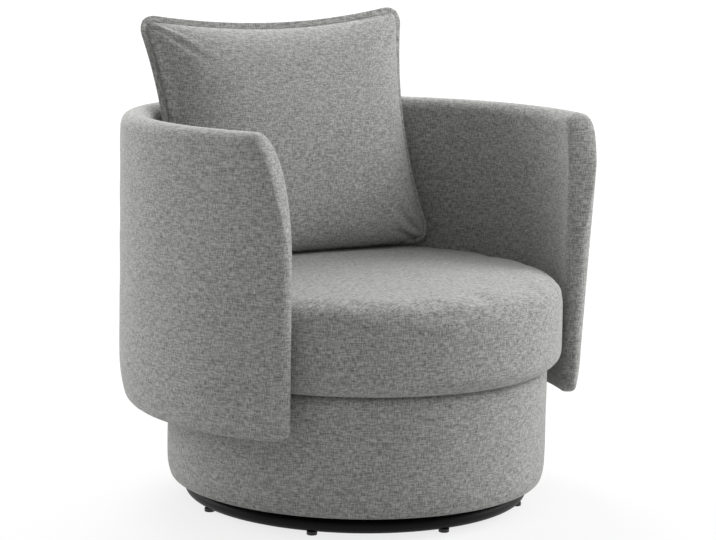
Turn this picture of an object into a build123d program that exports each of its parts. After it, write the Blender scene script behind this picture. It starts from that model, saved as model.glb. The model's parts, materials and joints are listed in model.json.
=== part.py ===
from build123d import *
import os
from math import asin, atan2, cos, degrees, hypot, pi, radians, sin, sqrt, tan

# Swivel lounge chair: an upholstered drum turns on a floor ring, a round seat lies on the drum,
# a C-shaped shell makes the back and both arms, and a loose pillow leans on the back.
# Lengths are millimetres. The origin is on the floor under the swivel axis, the sitter faces -Y.
# Angles are degrees from the front (-Y), turning towards +X.

# General fits
COVER = 2.0  # upholstery fabric with its lining
FIT = 0.2  # between pieces of one assembly that lie against each other on curved faces
PADDING_GAP = 0.7  # between a cover and the foam or filling under it
BOLT_CLEARANCE = 0.2  # around a bolt or screw in its hole
TURN_CLEARANCE = 0.05  # around the pivot bolt in its bush
TURN_GAP = 0.3  # between faces that turn past each other

# Floor ring, its glides and its spokes
RING_SETBACK = 44.0  # from the drum's side in to the middle of the ring's tube
RING_TUBE_RADIUS = 12.5
RING_TUBE_WALL = 1.8
GLIDE_COUNT = 8
GLIDE_PHASE = -9.0
GLIDE_RADIUS = 9.0
GLIDE_HEIGHT = 6.0
GLIDE_EDGE = 1.0
GLIDE_STEM_RADIUS = 4.0
GLIDE_STEM_LENGTH = 6.0
SPOKE_COUNT = 4
SPOKE_WIDTH = 30.0
SPOKE_THICKNESS = 8.0
SPOKE_INNER_RADIUS = 60.0
HUB_PLATE_MARGIN = 3.0  # past the bearing's races
HUB_PLATE_THICKNESS = 4.0

# Ball bearing of the swivel
RACE_INNER_RADIUS = 85.0
RACE_WIDTH = 60.0
RACE_THICKNESS = 4.0
RACE_SCREW_INSET = 12.0  # from the races' inner edge
RACE_SCREW_COUNT = 4
RACE_SCREW_PHASE = 45.0
RACE_SCREW_RADIUS = 2.5
RACE_SCREW_HEAD_RADIUS = 5.0
RACE_SCREW_HEAD_HEIGHT = 2.4
RACE_SCREW_BITE = 14.0
BALL_COUNT = 24
BALL_RADIUS = 5.0
BALL_INSET = 23.0  # from the races' outer edge to the balls' pitch circle
BALL_SINK = 2.2
CAGE_WIDTH = 22.0
CAGE_THICKNESS = 1.6
CAGE_POCKET_GAP = 0.1

# Pivot through the middle of the bearing
PIVOT_RADIUS = 6.0
PIVOT_HEAD_RADIUS = 13.0
PIVOT_HEAD_HEIGHT = 7.0
PIVOT_TAIL = 3.0
BUSH_WALL = 6.0
BUSH_FLANGE_RADIUS = 20.0
BUSH_FLANGE_THICKNESS = 3.0
PIVOT_WASHER_RADIUS = 18.0
PIVOT_WASHER_THICKNESS = 2.5
PIVOT_NUT_FLATS = 19.0
PIVOT_NUT_HEIGHT = 10.0

# Upholstered drum
DRUM_RADIUS = 335.0
DRUM_HEIGHT = 207.0
DRUM_TURN_UNDER = 13.0  # how far the side comes in towards its lower edge
DRUM_TURN_HEIGHT = 36.0
DRUM_TURN_EDGE = 8.0
DRUM_UPPER_EDGE = 13.0
DRUM_HEM = 45.0
DRUM_PADDING = 8.0
DRUM_PANEL = 3.0
DRUM_PANEL_SETBACK = 2.0
DRUM_BOARD = 18.0
DRUM_TOP_OPENING_RADIUS = 200.0
DRUM_POST_COUNT = 8
DRUM_POST_DEPTH = 40.0
DRUM_POST_WIDTH = 40.0
POST_SCREW_RADIUS = 2.5
POST_SCREW_HEAD_RADIUS = 5.0
POST_SCREW_HEAD_HEIGHT = 3.0
POST_SCREW_LENGTH = 60.0
POST_SCREW_OFFSET = 11.0
DUST_COVER = 1.0
DUST_COVER_MARGIN = 2.0

# Round seat cushion
SEAT_OVERHANG = 28.0  # past the drum's side
SEAT_SIDE_HEIGHT = 155.0
SEAT_CROWN = 12.0
SEAT_LOWER_EDGE = 25.0
SEAT_UPPER_EDGE = 30.0
SEAT_HEM = 63.0
SEAT_RING_INSET = 33.0  # from the cushion's side
SEAT_RING_WIDTH = 68.0
SEAT_RING_THICKNESS = 18.0
STRAP_COUNT = 5
STRAP_PITCH = 75.0
STRAP_WIDTH = 50.0
STRAP_THICKNESS = 1.5
STRAP_END_MARGIN = 10.0
SEAT_BOLT_INSET = 52.0  # from the seat ring's outer edge
SEAT_BOLT_COUNT = 4
SEAT_BOLT_PHASE = 22.5

# Bolts and tee nuts that join seat, drum and shell
BOLT_RADIUS = 4.0
BOLT_HEAD_RADIUS = 7.0
BOLT_HEAD_HEIGHT = 5.0
BOLT_TIP = 2.0
TEE_BARREL_RADIUS = 5.0
TEE_BARREL_LENGTH = 9.0
TEE_FLANGE_RADIUS = 9.0
TEE_FLANGE_THICKNESS = 1.5

# C-shaped shell of the back and arms
SHELL_GAP = 7.0  # between the seat cushion's side and the shell
SHELL_WALL = 50.0
SHELL_HEIGHT = 500.0
SHELL_DROP = 69.0  # how far the shell hangs below the seat's underside
SHELL_TIP_ANGLE = 56.0
SHELL_TIP_DRAW_IN = 19.0  # the arms' lower front corners stand this far in from the round
SHELL_TIP_FLARE = 8.0  # and the upper ones this far out
SHELL_DRAW_IN_LENGTH = 170.0  # along the arc, from the tip
SHELL_CORNER_SETBACK = 65.0
SHELL_CORNER_DROP = 245.0
SHELL_LOWER_CORNER_SETBACK = 45.0
SHELL_LOWER_CORNER_RISE = 26.0
SHELL_TOP_EDGE = 22.0
SHELL_BOTTOM_EDGE = 12.0
SHELL_EDGE_SHARE = 0.45  # most of a narrow section's width that one rounded edge takes
SHELL_TURN_UNDER = 25.5  # how far the outer face comes in towards its lower edge
SHELL_TURN_HEIGHT = 75.0
SHELL_TURN_EDGE = 16.0
SHELL_TURN_SHARE = 0.52  # most of a narrow section's width that turns under
SHELL_TIP_START = 0.4
SHELL_TIP_STATIONS = 8
SHELL_ARM_STATIONS = 4
FRAME_INSET = 7.0
FRAME_TIP_ANGLE = 67.0
FRAME_SKIN = 3.0
FRAME_RAIL_DEPTH = 12.0
FRAME_RAIL_HEIGHT = 60.0
FRAME_MID_RAIL_HEIGHT = 40.0
FRAME_BOTTOM_MARGIN = 14.0
FRAME_TOP_MARGIN = 26.0
FRAME_POST_COUNT = 9
FRAME_POST_WIDTH = 40.0
SHELL_BOLT_COUNT = 5
SHELL_BOLT_STEP = 45.0
SHELL_BOLT_RISE = 18.0  # above the bottom rail's lower edge
SPACER_WIDTH = 60.0
SPACER_HEIGHT = 36.0

# Loose pillow
PILLOW_WIDTH = 550.0
PILLOW_HEIGHT = 428.0
PILLOW_THICKNESS = 155.0
PILLOW_TILT = 15.0  # leans back
PILLOW_TURN = 5.5  # from the middle of the back towards the +X arm
PILLOW_SIDE_DRAW = 26.0
PILLOW_TOP_DRAW = 24.0
PILLOW_CORNER = 26.0
PILLOW_CROWN_HALF_WIDTH = 55.0
PILLOW_CROWN_HALF_HEIGHT = 40.0
PILLOW_CROWN_CORNER = 36.0
PILLOW_CROWN_BULGE = 3.0
PILLOW_LEVELS = 6
PILLOW_REST_GAP = 0.3
PILLOW_PLACING_ROUNDS = 8
WELT_WIDTH = 10.0
WELT_THICKNESS = 4.0
ZIP_SIDE_MARGIN = 75.0  # from the pillow's sides
ZIP_TAPE_HEIGHT = 8.0
ZIP_TAPE_THICKNESS = 1.0
ZIP_TEETH_HEIGHT = 2.0
ZIP_TEETH_THICKNESS = 1.8
ZIP_END_MARGIN = 10.0
ZIP_STOP_LENGTH = 3.0
SLIDER_LENGTH = 12.0
SLIDER_WALL = 1.2
SLIDER_PULL_LENGTH = 20.0
SLIDER_PULL_WIDTH = 4.0
SLIDER_PULL_THICKNESS = 1.0

# Heights that follow from the stack on the floor
RING_Z = GLIDE_HEIGHT + RING_TUBE_RADIUS
SPOKE_TOP_Z = RING_Z + SPOKE_THICKNESS / 2
HUB_TOP_Z = SPOKE_TOP_Z + HUB_PLATE_THICKNESS
LOWER_RACE_TOP_Z = HUB_TOP_Z + RACE_THICKNESS
BALL_Z = LOWER_RACE_TOP_Z + BALL_RADIUS - BALL_SINK
UPPER_RACE_Z = BALL_Z + BALL_RADIUS - BALL_SINK
BOTTOM_BOARD_Z = UPPER_RACE_Z + RACE_THICKNESS
BOTTOM_BOARD_TOP_Z = BOTTOM_BOARD_Z + DRUM_BOARD
DRUM_BOTTOM_Z = BOTTOM_BOARD_Z - COVER
DRUM_TOP_Z = DRUM_BOTTOM_Z + DRUM_HEIGHT
TOP_BOARD_TOP_Z = DRUM_TOP_Z - COVER
TOP_BOARD_Z = TOP_BOARD_TOP_Z - DRUM_BOARD
SEAT_BOTTOM_Z = DRUM_TOP_Z
SEAT_RING_Z = SEAT_BOTTOM_Z + COVER
SEAT_RING_TOP_Z = SEAT_RING_Z + SEAT_RING_THICKNESS
SEAT_EDGE_Z = SEAT_BOTTOM_Z + SEAT_SIDE_HEIGHT
SHELL_BOTTOM_Z = SEAT_BOTTOM_Z - SHELL_DROP
SHELL_TOP_Z = SHELL_BOTTOM_Z + SHELL_HEIGHT
FRAME_BOTTOM_Z = SHELL_BOTTOM_Z + FRAME_BOTTOM_MARGIN
FRAME_TOP_Z = SHELL_TOP_Z - FRAME_TOP_MARGIN
SHELL_BOLT_Z = FRAME_BOTTOM_Z + SHELL_BOLT_RISE

# Radii that follow from the layers
RING_RADIUS = DRUM_RADIUS - RING_SETBACK
RACE_OUTER_RADIUS = RACE_INNER_RADIUS + RACE_WIDTH
RACE_SCREW_CIRCLE = RACE_INNER_RADIUS + RACE_SCREW_INSET
BALL_PITCH_RADIUS = RACE_OUTER_RADIUS - BALL_INSET
HUB_PLATE_RADIUS = RACE_OUTER_RADIUS + HUB_PLATE_MARGIN
DRUM_PANEL_OUTER = DRUM_RADIUS - COVER - DRUM_PADDING
DRUM_FRAME_RADIUS = DRUM_PANEL_OUTER - DRUM_PANEL - FIT
DRUM_POST_MID = DRUM_FRAME_RADIUS - DRUM_POST_DEPTH / 2
SEAT_RADIUS = DRUM_RADIUS + SEAT_OVERHANG
SEAT_RING_RADIUS = SEAT_RADIUS - SEAT_RING_INSET
SEAT_BOLT_CIRCLE = SEAT_RING_RADIUS - SEAT_BOLT_INSET
SHELL_INNER_RADIUS = SEAT_RADIUS + SHELL_GAP
SHELL_RADIUS = SHELL_INNER_RADIUS + SHELL_WALL
SHELL_MID_RADIUS = SHELL_RADIUS - SHELL_WALL / 2
FRAME_INNER_RADIUS = SHELL_INNER_RADIUS + FRAME_INSET
RAIL_INNER_RADIUS = FRAME_INNER_RADIUS + FRAME_SKIN + FIT
RAIL_OUTER_RADIUS = RAIL_INNER_RADIUS + FRAME_RAIL_DEPTH
FRAME_OUTER_RADIUS = RAIL_OUTER_RADIUS + FIT + FRAME_SKIN

ZIP_LENGTH = PILLOW_WIDTH - 2 * ZIP_SIDE_MARGIN
BOLT_HOLE_RADIUS = BOLT_RADIUS + BOLT_CLEARANCE
TEE_HOLE_RADIUS = TEE_BARREL_RADIUS + BOLT_CLEARANCE
ON_BASE = (Align.CENTER, Align.CENTER, Align.MIN)


def around(count, phase):
    """Angles of evenly spaced copies round the swivel axis."""
    return [phase + 360 * i / count for i in range(count)]


def polar(radius, angle, z=0.0):
    """Point at a radius and angle from the swivel axis."""
    return (radius * sin(radians(angle)), -radius * cos(radians(angle)), z)


def disc(radius, z, height):
    """Cylinder on the swivel axis."""
    return Pos(0, 0, z) * Cylinder(radius, height, align=ON_BASE)


def ring(inner, outer, z, height):
    """Flat ring or tube on the swivel axis."""
    return disc(outer, z, height) - disc(inner, z, height)


def peg(radius, centre, height):
    """Upright cylinder that stands on a point."""
    return Pos(*centre) * Cylinder(radius, height, align=ON_BASE)


def radial_rod(radius, start, end, angle, z):
    """Cylinder along a line from the swivel axis, between two radii."""
    rod = Pos((start + end) / 2, 0, 0) * Rot(0, 90, 0) * Cylinder(radius, end - start)
    return Pos(0, 0, z) * Rot(0, 0, angle - 90) * rod


def arc_wall(inner, outer, z, height, start, sweep):
    """Curved wall of rectangular section round the swivel axis."""
    section = Plane.XZ * Pos((inner + outer) / 2, z + height / 2) * Rectangle(outer - inner, height)
    return Rot(0, 0, start - 90) * revolve(section, Axis.Z, sweep)


def arc_block(inner, outer, z, height, middle, width):
    """Curved block of a width along the arc, centred on an angle."""
    sweep = degrees(width / ((inner + outer) / 2))
    return arc_wall(inner, outer, z, height, middle - sweep / 2, sweep)


def turned(points_and_bulges):
    """Solid turned about the swivel axis from a profile of (radius, z, bulge) corners.

    A bulge gives the middle point of an arc to the next corner, None a straight line.
    """
    edges = []
    for index, (radius, z, middle) in enumerate(points_and_bulges):
        end_radius, end_z, _ = points_and_bulges[(index + 1) % len(points_and_bulges)]
        start, end = (radius, 0, z), (end_radius, 0, end_z)
        if middle is None:
            edges.append(Edge.make_line(start, end))
        else:
            edges.append(Edge.make_three_point_arc(start, (middle[0], 0, middle[1]), end))
    return revolve(Face(Wire(edges)), Axis.Z, 360)


def round_corner(centre_radius, centre_z, edge, side):
    """Middle point of a quarter arc that faces outwards and up (side 1) or down (side -1)."""
    return (centre_radius + edge * cos(pi / 4), centre_z + side * edge * sin(pi / 4))


def turned_under(outer, low, width, height, edge):
    """Two arcs that bring an upright side in to its underside: a large one, then one of the edge's radius.

    Each arc is its start, middle and end point as (radius, z), from the side down to the underside.
    """
    large = (width**2 + (height - edge) ** 2 - edge**2) / (2 * (width - edge))
    turn = atan2(height - edge, large - width)

    def on_large(angle):
        return (outer - large + large * cos(angle), low + height - large * sin(angle))

    def on_small(angle):
        return (outer - width + edge * cos(angle), low + edge - edge * sin(angle))

    joint = on_large(turn)
    first = ((outer, low + height), on_large(turn / 2), joint)
    second = (joint, on_small((turn + pi / 2) / 2), (outer - width, low))
    return [first, second]


def tee_nut():
    """Tee nut on its own axis: the flange's outer face at z = 0, the barrel below it."""
    flange = Cylinder(TEE_FLANGE_RADIUS, TEE_FLANGE_THICKNESS, align=ON_BASE)
    flange = Pos(0, 0, -TEE_FLANGE_THICKNESS) * flange
    barrel = Pos(0, 0, -TEE_BARREL_LENGTH) * Cylinder(TEE_BARREL_RADIUS, TEE_BARREL_LENGTH, align=ON_BASE)
    bore = Pos(0, 0, -TEE_BARREL_LENGTH) * Cylinder(BOLT_HOLE_RADIUS, TEE_BARREL_LENGTH, align=ON_BASE)
    return flange + barrel - bore


def tee_seat():
    """Space that a tee nut takes in a board, with its clearance."""
    flange = Pos(0, 0, -TEE_FLANGE_THICKNESS) * Cylinder(
        TEE_FLANGE_RADIUS + BOLT_CLEARANCE, 2 * TEE_FLANGE_THICKNESS, align=ON_BASE
    )
    barrel = Pos(0, 0, -TEE_BARREL_LENGTH - BOLT_TIP) * Cylinder(
        TEE_HOLE_RADIUS, TEE_BARREL_LENGTH + BOLT_TIP, align=ON_BASE
    )
    return flange + barrel


def base_nodes():
    """Floor ring with its glides, spokes and hub plate."""
    tube = Pos(0, 0, RING_Z) * Torus(RING_RADIUS, RING_TUBE_RADIUS)
    tube_bore = Pos(0, 0, RING_Z) * Torus(RING_RADIUS, RING_TUBE_RADIUS - RING_TUBE_WALL)
    tube_seat = Pos(0, 0, RING_Z) * Torus(RING_RADIUS, RING_TUBE_RADIUS + FIT)
    feet = []
    stem_holes = []
    for angle in around(GLIDE_COUNT, GLIDE_PHASE):
        foot = Cylinder(GLIDE_RADIUS, GLIDE_HEIGHT, align=ON_BASE)
        foot = fillet(foot.edges().group_by(Axis.Z)[0], GLIDE_EDGE)
        stem = Cylinder(GLIDE_STEM_RADIUS, GLIDE_HEIGHT + GLIDE_STEM_LENGTH, align=ON_BASE)
        feet.append(Pos(*polar(RING_RADIUS, angle)) * (foot + stem))
        hole_height = GLIDE_STEM_LENGTH + GLIDE_HEIGHT
        hole_radius = GLIDE_STEM_RADIUS + BOLT_CLEARANCE
        stem_holes.append(peg(hole_radius, polar(RING_RADIUS, angle), hole_height))
    spokes = []
    for angle in around(SPOKE_COUNT, 0):
        length = RING_RADIUS - SPOKE_INNER_RADIUS
        bar = Pos(SPOKE_INNER_RADIUS + length / 2, 0, RING_Z) * Box(length, SPOKE_WIDTH, SPOKE_THICKNESS)
        spokes.append(Rot(0, 0, angle) * bar - tube_seat)
    plate = disc(HUB_PLATE_RADIUS, SPOKE_TOP_Z, HUB_PLATE_THICKNESS)
    plate -= disc(PIVOT_RADIUS + BOLT_CLEARANCE, SPOKE_TOP_Z, HUB_PLATE_THICKNESS)
    plate -= race_screw_holes(SPOKE_TOP_Z, HUB_PLATE_THICKNESS)
    return {
        "floor_glides": Compound(feet),
        "floor_ring": tube - tube_bore - stem_holes,
        "floor_ring_spokes": Compound(spokes),
        "hub_plate": plate,
    }


def race_screw_holes(z, height):
    """Holes for the screws that hold a race."""
    radius = RACE_SCREW_RADIUS + BOLT_CLEARANCE
    angles = around(RACE_SCREW_COUNT, RACE_SCREW_PHASE)
    return [peg(radius, polar(RACE_SCREW_CIRCLE, angle, z), height) for angle in angles]


def race_screws(head_z, length):
    """Screws driven upwards, their heads under a face at head_z."""
    screws = []
    for angle in around(RACE_SCREW_COUNT, RACE_SCREW_PHASE):
        place = polar(RACE_SCREW_CIRCLE, angle, head_z)
        head = peg(RACE_SCREW_HEAD_RADIUS, place, RACE_SCREW_HEAD_HEIGHT)
        head = Pos(0, 0, -RACE_SCREW_HEAD_HEIGHT) * head
        screws.append(head + peg(RACE_SCREW_RADIUS, place, length))
    return Compound(screws)


def bearing_nodes():
    """Two grooved races with caged balls, and the pivot that holds them together."""
    groove = Pos(0, 0, BALL_Z) * Torus(BALL_PITCH_RADIUS, BALL_RADIUS + TURN_GAP)
    lower = ring(RACE_INNER_RADIUS, RACE_OUTER_RADIUS, HUB_TOP_Z, RACE_THICKNESS) - groove
    upper = ring(RACE_INNER_RADIUS, RACE_OUTER_RADIUS, UPPER_RACE_Z, RACE_THICKNESS) - groove
    ball_angles = around(BALL_COUNT, 0)
    balls = [Pos(*polar(BALL_PITCH_RADIUS, angle, BALL_Z)) * Sphere(BALL_RADIUS) for angle in ball_angles]
    cage_z = BALL_Z - CAGE_THICKNESS / 2
    cage_inner = BALL_PITCH_RADIUS - CAGE_WIDTH / 2
    cage = ring(cage_inner, cage_inner + CAGE_WIDTH, cage_z, CAGE_THICKNESS)
    pocket_radius = BALL_RADIUS + CAGE_POCKET_GAP
    places = [polar(BALL_PITCH_RADIUS, angle, cage_z) for angle in ball_angles]
    cage -= [peg(pocket_radius, place, CAGE_THICKNESS) for place in places]

    bush_bore = PIVOT_RADIUS + TURN_CLEARANCE
    flange_top_z = BOTTOM_BOARD_TOP_Z + BUSH_FLANGE_THICKNESS
    bush = disc(PIVOT_RADIUS + BUSH_WALL, BOTTOM_BOARD_Z, flange_top_z - BOTTOM_BOARD_Z)
    bush += disc(BUSH_FLANGE_RADIUS, BOTTOM_BOARD_TOP_Z, BUSH_FLANGE_THICKNESS)
    bush -= disc(bush_bore, BOTTOM_BOARD_Z, flange_top_z - BOTTOM_BOARD_Z)
    washer_z = flange_top_z + TURN_GAP
    washer_bore = PIVOT_RADIUS + BOLT_CLEARANCE
    washer = ring(washer_bore, PIVOT_WASHER_RADIUS, washer_z, PIVOT_WASHER_THICKNESS)
    nut_z = washer_z + PIVOT_WASHER_THICKNESS
    nut_shape = RegularPolygon(PIVOT_NUT_FLATS / 2, 6, major_radius=False)
    nut = Pos(0, 0, nut_z) * extrude(nut_shape, PIVOT_NUT_HEIGHT)
    nut -= disc(washer_bore, nut_z, PIVOT_NUT_HEIGHT)
    bolt_end_z = nut_z + PIVOT_NUT_HEIGHT + PIVOT_TAIL
    bolt = disc(PIVOT_RADIUS, SPOKE_TOP_Z, bolt_end_z - SPOKE_TOP_Z)
    bolt += disc(PIVOT_HEAD_RADIUS, SPOKE_TOP_Z - PIVOT_HEAD_HEIGHT, PIVOT_HEAD_HEIGHT)
    return {
        "lower_race": lower - race_screw_holes(HUB_TOP_Z, RACE_THICKNESS),
        "lower_race_screws": race_screws(SPOKE_TOP_Z, HUB_PLATE_THICKNESS + RACE_THICKNESS - FIT),
        "pivot_bolt": bolt,
        "pivot_washer": washer,
        "pivot_nut": nut,
        "ball_cage": cage,
        "bearing_balls": Compound(balls),
        "upper_race": upper - race_screw_holes(UPPER_RACE_Z, RACE_THICKNESS),
        "upper_race_screws": race_screws(UPPER_RACE_Z, RACE_THICKNESS + RACE_SCREW_BITE),
        "pivot_bush": bush,
    }


def drum_body(inset):
    """Solid of the drum's outer form, drawn in by an inset."""
    radius = DRUM_RADIUS - inset
    bottom = DRUM_BOTTOM_Z + inset
    top = DRUM_TOP_Z - inset
    upper = DRUM_UPPER_EDGE - inset
    (side, large_middle, joint), (_, small_middle, underside) = turned_under(
        radius, bottom, DRUM_TURN_UNDER - inset, DRUM_TURN_HEIGHT - inset, DRUM_TURN_EDGE - inset
    )
    return turned([
        (0, bottom, None),
        (*underside, small_middle),
        (*joint, large_middle),
        (*side, None),
        (radius, top - upper, round_corner(radius - upper, top - upper, upper, 1)),
        (radius - upper, top, None),
        (0, top, None),
    ])


def shell_bolt_angles():
    """Angles of the bolts between drum and shell, centred on the back."""
    first = 180 - SHELL_BOLT_STEP * (SHELL_BOLT_COUNT - 1) / 2
    return [first + SHELL_BOLT_STEP * i for i in range(SHELL_BOLT_COUNT)]


def shell_bolt_holes(start, end):
    """Holes for the bolts between drum and shell, between two radii."""
    return [radial_rod(BOLT_HOLE_RADIUS, start, end, angle, SHELL_BOLT_Z) for angle in shell_bolt_angles()]


def post_screws():
    """Screws through the boards into both ends of each drum post."""
    screws = []
    holes = []
    turn = degrees(POST_SCREW_OFFSET / DRUM_POST_MID)
    length = POST_SCREW_LENGTH
    for angle in around(DRUM_POST_COUNT, 0):
        for outer_face, upward in ((BOTTOM_BOARD_Z, 1), (TOP_BOARD_TOP_Z, -1)):
            low = min(outer_face, outer_face + upward * length)
            head_low = min(outer_face, outer_face + upward * POST_SCREW_HEAD_HEIGHT)
            place = polar(DRUM_POST_MID, angle + turn)
            shank = Pos(0, 0, low) * peg(POST_SCREW_RADIUS, place, length)
            head = Pos(0, 0, head_low) * peg(POST_SCREW_HEAD_RADIUS, place, POST_SCREW_HEAD_HEIGHT)
            screws.append(shank + head)
            shank_hole = Pos(0, 0, low) * peg(POST_SCREW_RADIUS + BOLT_CLEARANCE, place, length)
            head_hole = Pos(0, 0, head_low) * peg(
                POST_SCREW_HEAD_RADIUS + BOLT_CLEARANCE, place, POST_SCREW_HEAD_HEIGHT
            )
            holes.append(shank_hole + head_hole)
    return screws, holes


def seat_bolt_holes():
    """Holes for the bolts that hold the seat, from the drum's top board up through the seat's ring."""
    angles = around(SEAT_BOLT_COUNT, SEAT_BOLT_PHASE)
    height = SEAT_RING_TOP_Z - TOP_BOARD_Z
    return [peg(BOLT_HOLE_RADIUS, polar(SEAT_BOLT_CIRCLE, angle, TOP_BOARD_Z), height) for angle in angles]


def drum_nodes():
    """Drum: two boards on posts, a bent panel, padding and a fabric cover."""
    screws, screw_holes = post_screws()
    bottom_board = disc(DRUM_FRAME_RADIUS, BOTTOM_BOARD_Z, DRUM_BOARD)
    bottom_board -= disc(PIVOT_RADIUS + BUSH_WALL + FIT, BOTTOM_BOARD_Z, DRUM_BOARD)
    bottom_board -= race_screw_holes(BOTTOM_BOARD_Z, RACE_SCREW_BITE)
    bottom_board -= screw_holes
    top_board = ring(DRUM_TOP_OPENING_RADIUS, DRUM_FRAME_RADIUS, TOP_BOARD_Z, DRUM_BOARD)
    top_board -= screw_holes
    top_board -= seat_bolt_holes()
    post_inner = DRUM_FRAME_RADIUS - DRUM_POST_DEPTH
    post_height = TOP_BOARD_Z - BOTTOM_BOARD_TOP_Z
    cuts = screw_holes + shell_bolt_holes(post_inner - BOLT_HEAD_HEIGHT, DRUM_RADIUS)
    for angle in shell_bolt_angles():
        head_radius = BOLT_HEAD_RADIUS + BOLT_CLEARANCE
        cuts.append(radial_rod(head_radius, post_inner - BOLT_HEAD_HEIGHT, post_inner, angle, SHELL_BOLT_Z))
    posts = []
    for angle in around(DRUM_POST_COUNT, 0):
        post = arc_block(
            post_inner, DRUM_FRAME_RADIUS, BOTTOM_BOARD_TOP_Z, post_height, angle, DRUM_POST_WIDTH
        )
        posts.extend((post - cuts).solids())
    panel_z = BOTTOM_BOARD_Z + DRUM_PANEL_SETBACK
    panel_height = TOP_BOARD_TOP_Z - DRUM_PANEL_SETBACK - panel_z
    panel = ring(DRUM_PANEL_OUTER - DRUM_PANEL, DRUM_PANEL_OUTER, panel_z, panel_height)
    side_holes = shell_bolt_holes(DRUM_FRAME_RADIUS - DRUM_PANEL, DRUM_RADIUS + COVER)
    padding = drum_body(COVER + PADDING_GAP) - disc(DRUM_PANEL_OUTER + FIT, DRUM_BOTTOM_Z, DRUM_HEIGHT)
    hem_radius = DRUM_RADIUS - DRUM_HEM
    cover = drum_body(0) - drum_body(COVER) - disc(hem_radius, DRUM_BOTTOM_Z, DRUM_HEIGHT)
    cover -= seat_bolt_holes()
    dust_inner = RACE_OUTER_RADIUS + DUST_COVER_MARGIN
    dust_outer = hem_radius - DUST_COVER_MARGIN
    return {
        "drum_bottom_board": bottom_board,
        "drum_posts": Compound(posts),
        "drum_top_board": top_board,
        "drum_post_screws": Compound(screws),
        "drum_panel": panel - side_holes,
        "drum_padding": padding - side_holes,
        "drum_cover": cover - side_holes,
        "drum_dust_cover": ring(dust_inner, dust_outer, BOTTOM_BOARD_Z - DUST_COVER, DUST_COVER),
    }


def seat_body(inset):
    """Solid of the seat cushion: rounded edges and a low crown, drawn in by an inset."""
    radius = SEAT_RADIUS - inset
    bottom = SEAT_BOTTOM_Z + inset
    edge_z = SEAT_EDGE_Z - inset
    crown_z = SEAT_EDGE_Z + SEAT_CROWN - inset
    lower = SEAT_LOWER_EDGE - inset
    upper = SEAT_UPPER_EDGE - inset
    shoulder = radius - upper
    crown_radius = (shoulder**2 + SEAT_CROWN**2) / (2 * SEAT_CROWN)
    half_turn = asin(shoulder / crown_radius) / 2
    crown_middle = (crown_radius * sin(half_turn), crown_z - crown_radius * (1 - cos(half_turn)))
    return turned([
        (0, bottom, None),
        (radius - lower, bottom, round_corner(radius - lower, bottom + lower, lower, -1)),
        (radius, bottom + lower, None),
        (radius, edge_z - upper, round_corner(shoulder, edge_z - upper, upper, 1)),
        (shoulder, edge_z, crown_middle),
        (0, crown_z, None),
    ])


def seat_straps(z, turn):
    """Elastic straps side by side across the seat ring."""
    reach = disc(SEAT_RING_RADIUS - STRAP_END_MARGIN, z, STRAP_THICKNESS)
    straps = []
    for index in range(STRAP_COUNT):
        offset = STRAP_PITCH * (index - (STRAP_COUNT - 1) / 2)
        strip = Box(STRAP_WIDTH, 2 * SEAT_RING_RADIUS, STRAP_THICKNESS, align=ON_BASE)
        straps.extend((Rot(0, 0, turn) * Pos(offset, 0, z) * strip & reach).solids())
    return Compound(straps)


def seat_nodes():
    """Round seat: a plywood ring with crossed straps, a foam block and its cover."""
    bolt_angles = around(SEAT_BOLT_COUNT, SEAT_BOLT_PHASE)
    top_places = [polar(SEAT_BOLT_CIRCLE, angle, SEAT_RING_TOP_Z) for angle in bolt_angles]
    frame = ring(SEAT_RING_RADIUS - SEAT_RING_WIDTH, SEAT_RING_RADIUS, SEAT_RING_Z, SEAT_RING_THICKNESS)
    frame -= [Pos(*place) * tee_seat() for place in top_places]
    frame -= seat_bolt_holes()
    bolt_top_z = SEAT_RING_TOP_Z - BOLT_TIP
    bolts = []
    for angle in bolt_angles:
        place = polar(SEAT_BOLT_CIRCLE, angle, TOP_BOARD_Z)
        head = Pos(0, 0, -BOLT_HEAD_HEIGHT) * peg(BOLT_HEAD_RADIUS, place, BOLT_HEAD_HEIGHT)
        bolts.append(head + peg(BOLT_RADIUS, place, bolt_top_z - TOP_BOARD_Z))
    webbing_top_z = SEAT_RING_TOP_Z + 2 * STRAP_THICKNESS
    recess = disc(SEAT_RING_RADIUS + FIT, SEAT_BOTTOM_Z, webbing_top_z + FIT - SEAT_BOTTOM_Z)
    cover = seat_body(0) - seat_body(COVER) - disc(SEAT_RADIUS - SEAT_HEM, SEAT_BOTTOM_Z, COVER)
    cover -= seat_bolt_holes()
    return {
        "seat_frame_ring": frame,
        "seat_webbing_long": seat_straps(SEAT_RING_TOP_Z, 0),
        "seat_webbing_cross": seat_straps(SEAT_RING_TOP_Z + STRAP_THICKNESS, 90),
        "seat_foam": seat_body(COVER + PADDING_GAP) - recess,
        "seat_cover": cover,
        "seat_bolts": Compound(bolts),
        "seat_tee_nuts": Compound([Pos(*place) * tee_nut() for place in top_places]),
    }


def rounded_corners(corners, radii):
    """Fillets of an outline's first corners: for each radius the arc's start, middle and end point."""
    fillets = []
    for index, radius in enumerate(radii):
        x, y = corners[index]
        legs = []
        for other in (corners[index - 1], corners[(index + 1) % len(corners)]):
            length = hypot(other[0] - x, other[1] - y)
            legs.append(((other[0] - x) / length, (other[1] - y) / length))
        (ax, ay), (bx, by) = legs
        half = asin(min(1.0, hypot(ax - bx, ay - by) / 2))
        reach = radius / tan(half)
        bisector = hypot(ax + bx, ay + by)
        inward = radius / sin(half) - radius
        middle = (x + (ax + bx) / bisector * inward, y + (ay + by) / bisector * inward)
        fillets.append(((x + ax * reach, y + ay * reach), middle, (x + bx * reach, y + by * reach)))
    return fillets


def quarter_rise(distance, length):
    """Height share of a quarter ellipse at a distance from its end: 0 at the end, 1 past the length."""
    if distance >= length:
        return 1.0
    return sqrt(1 - (1 - distance / length) ** 2)


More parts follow.
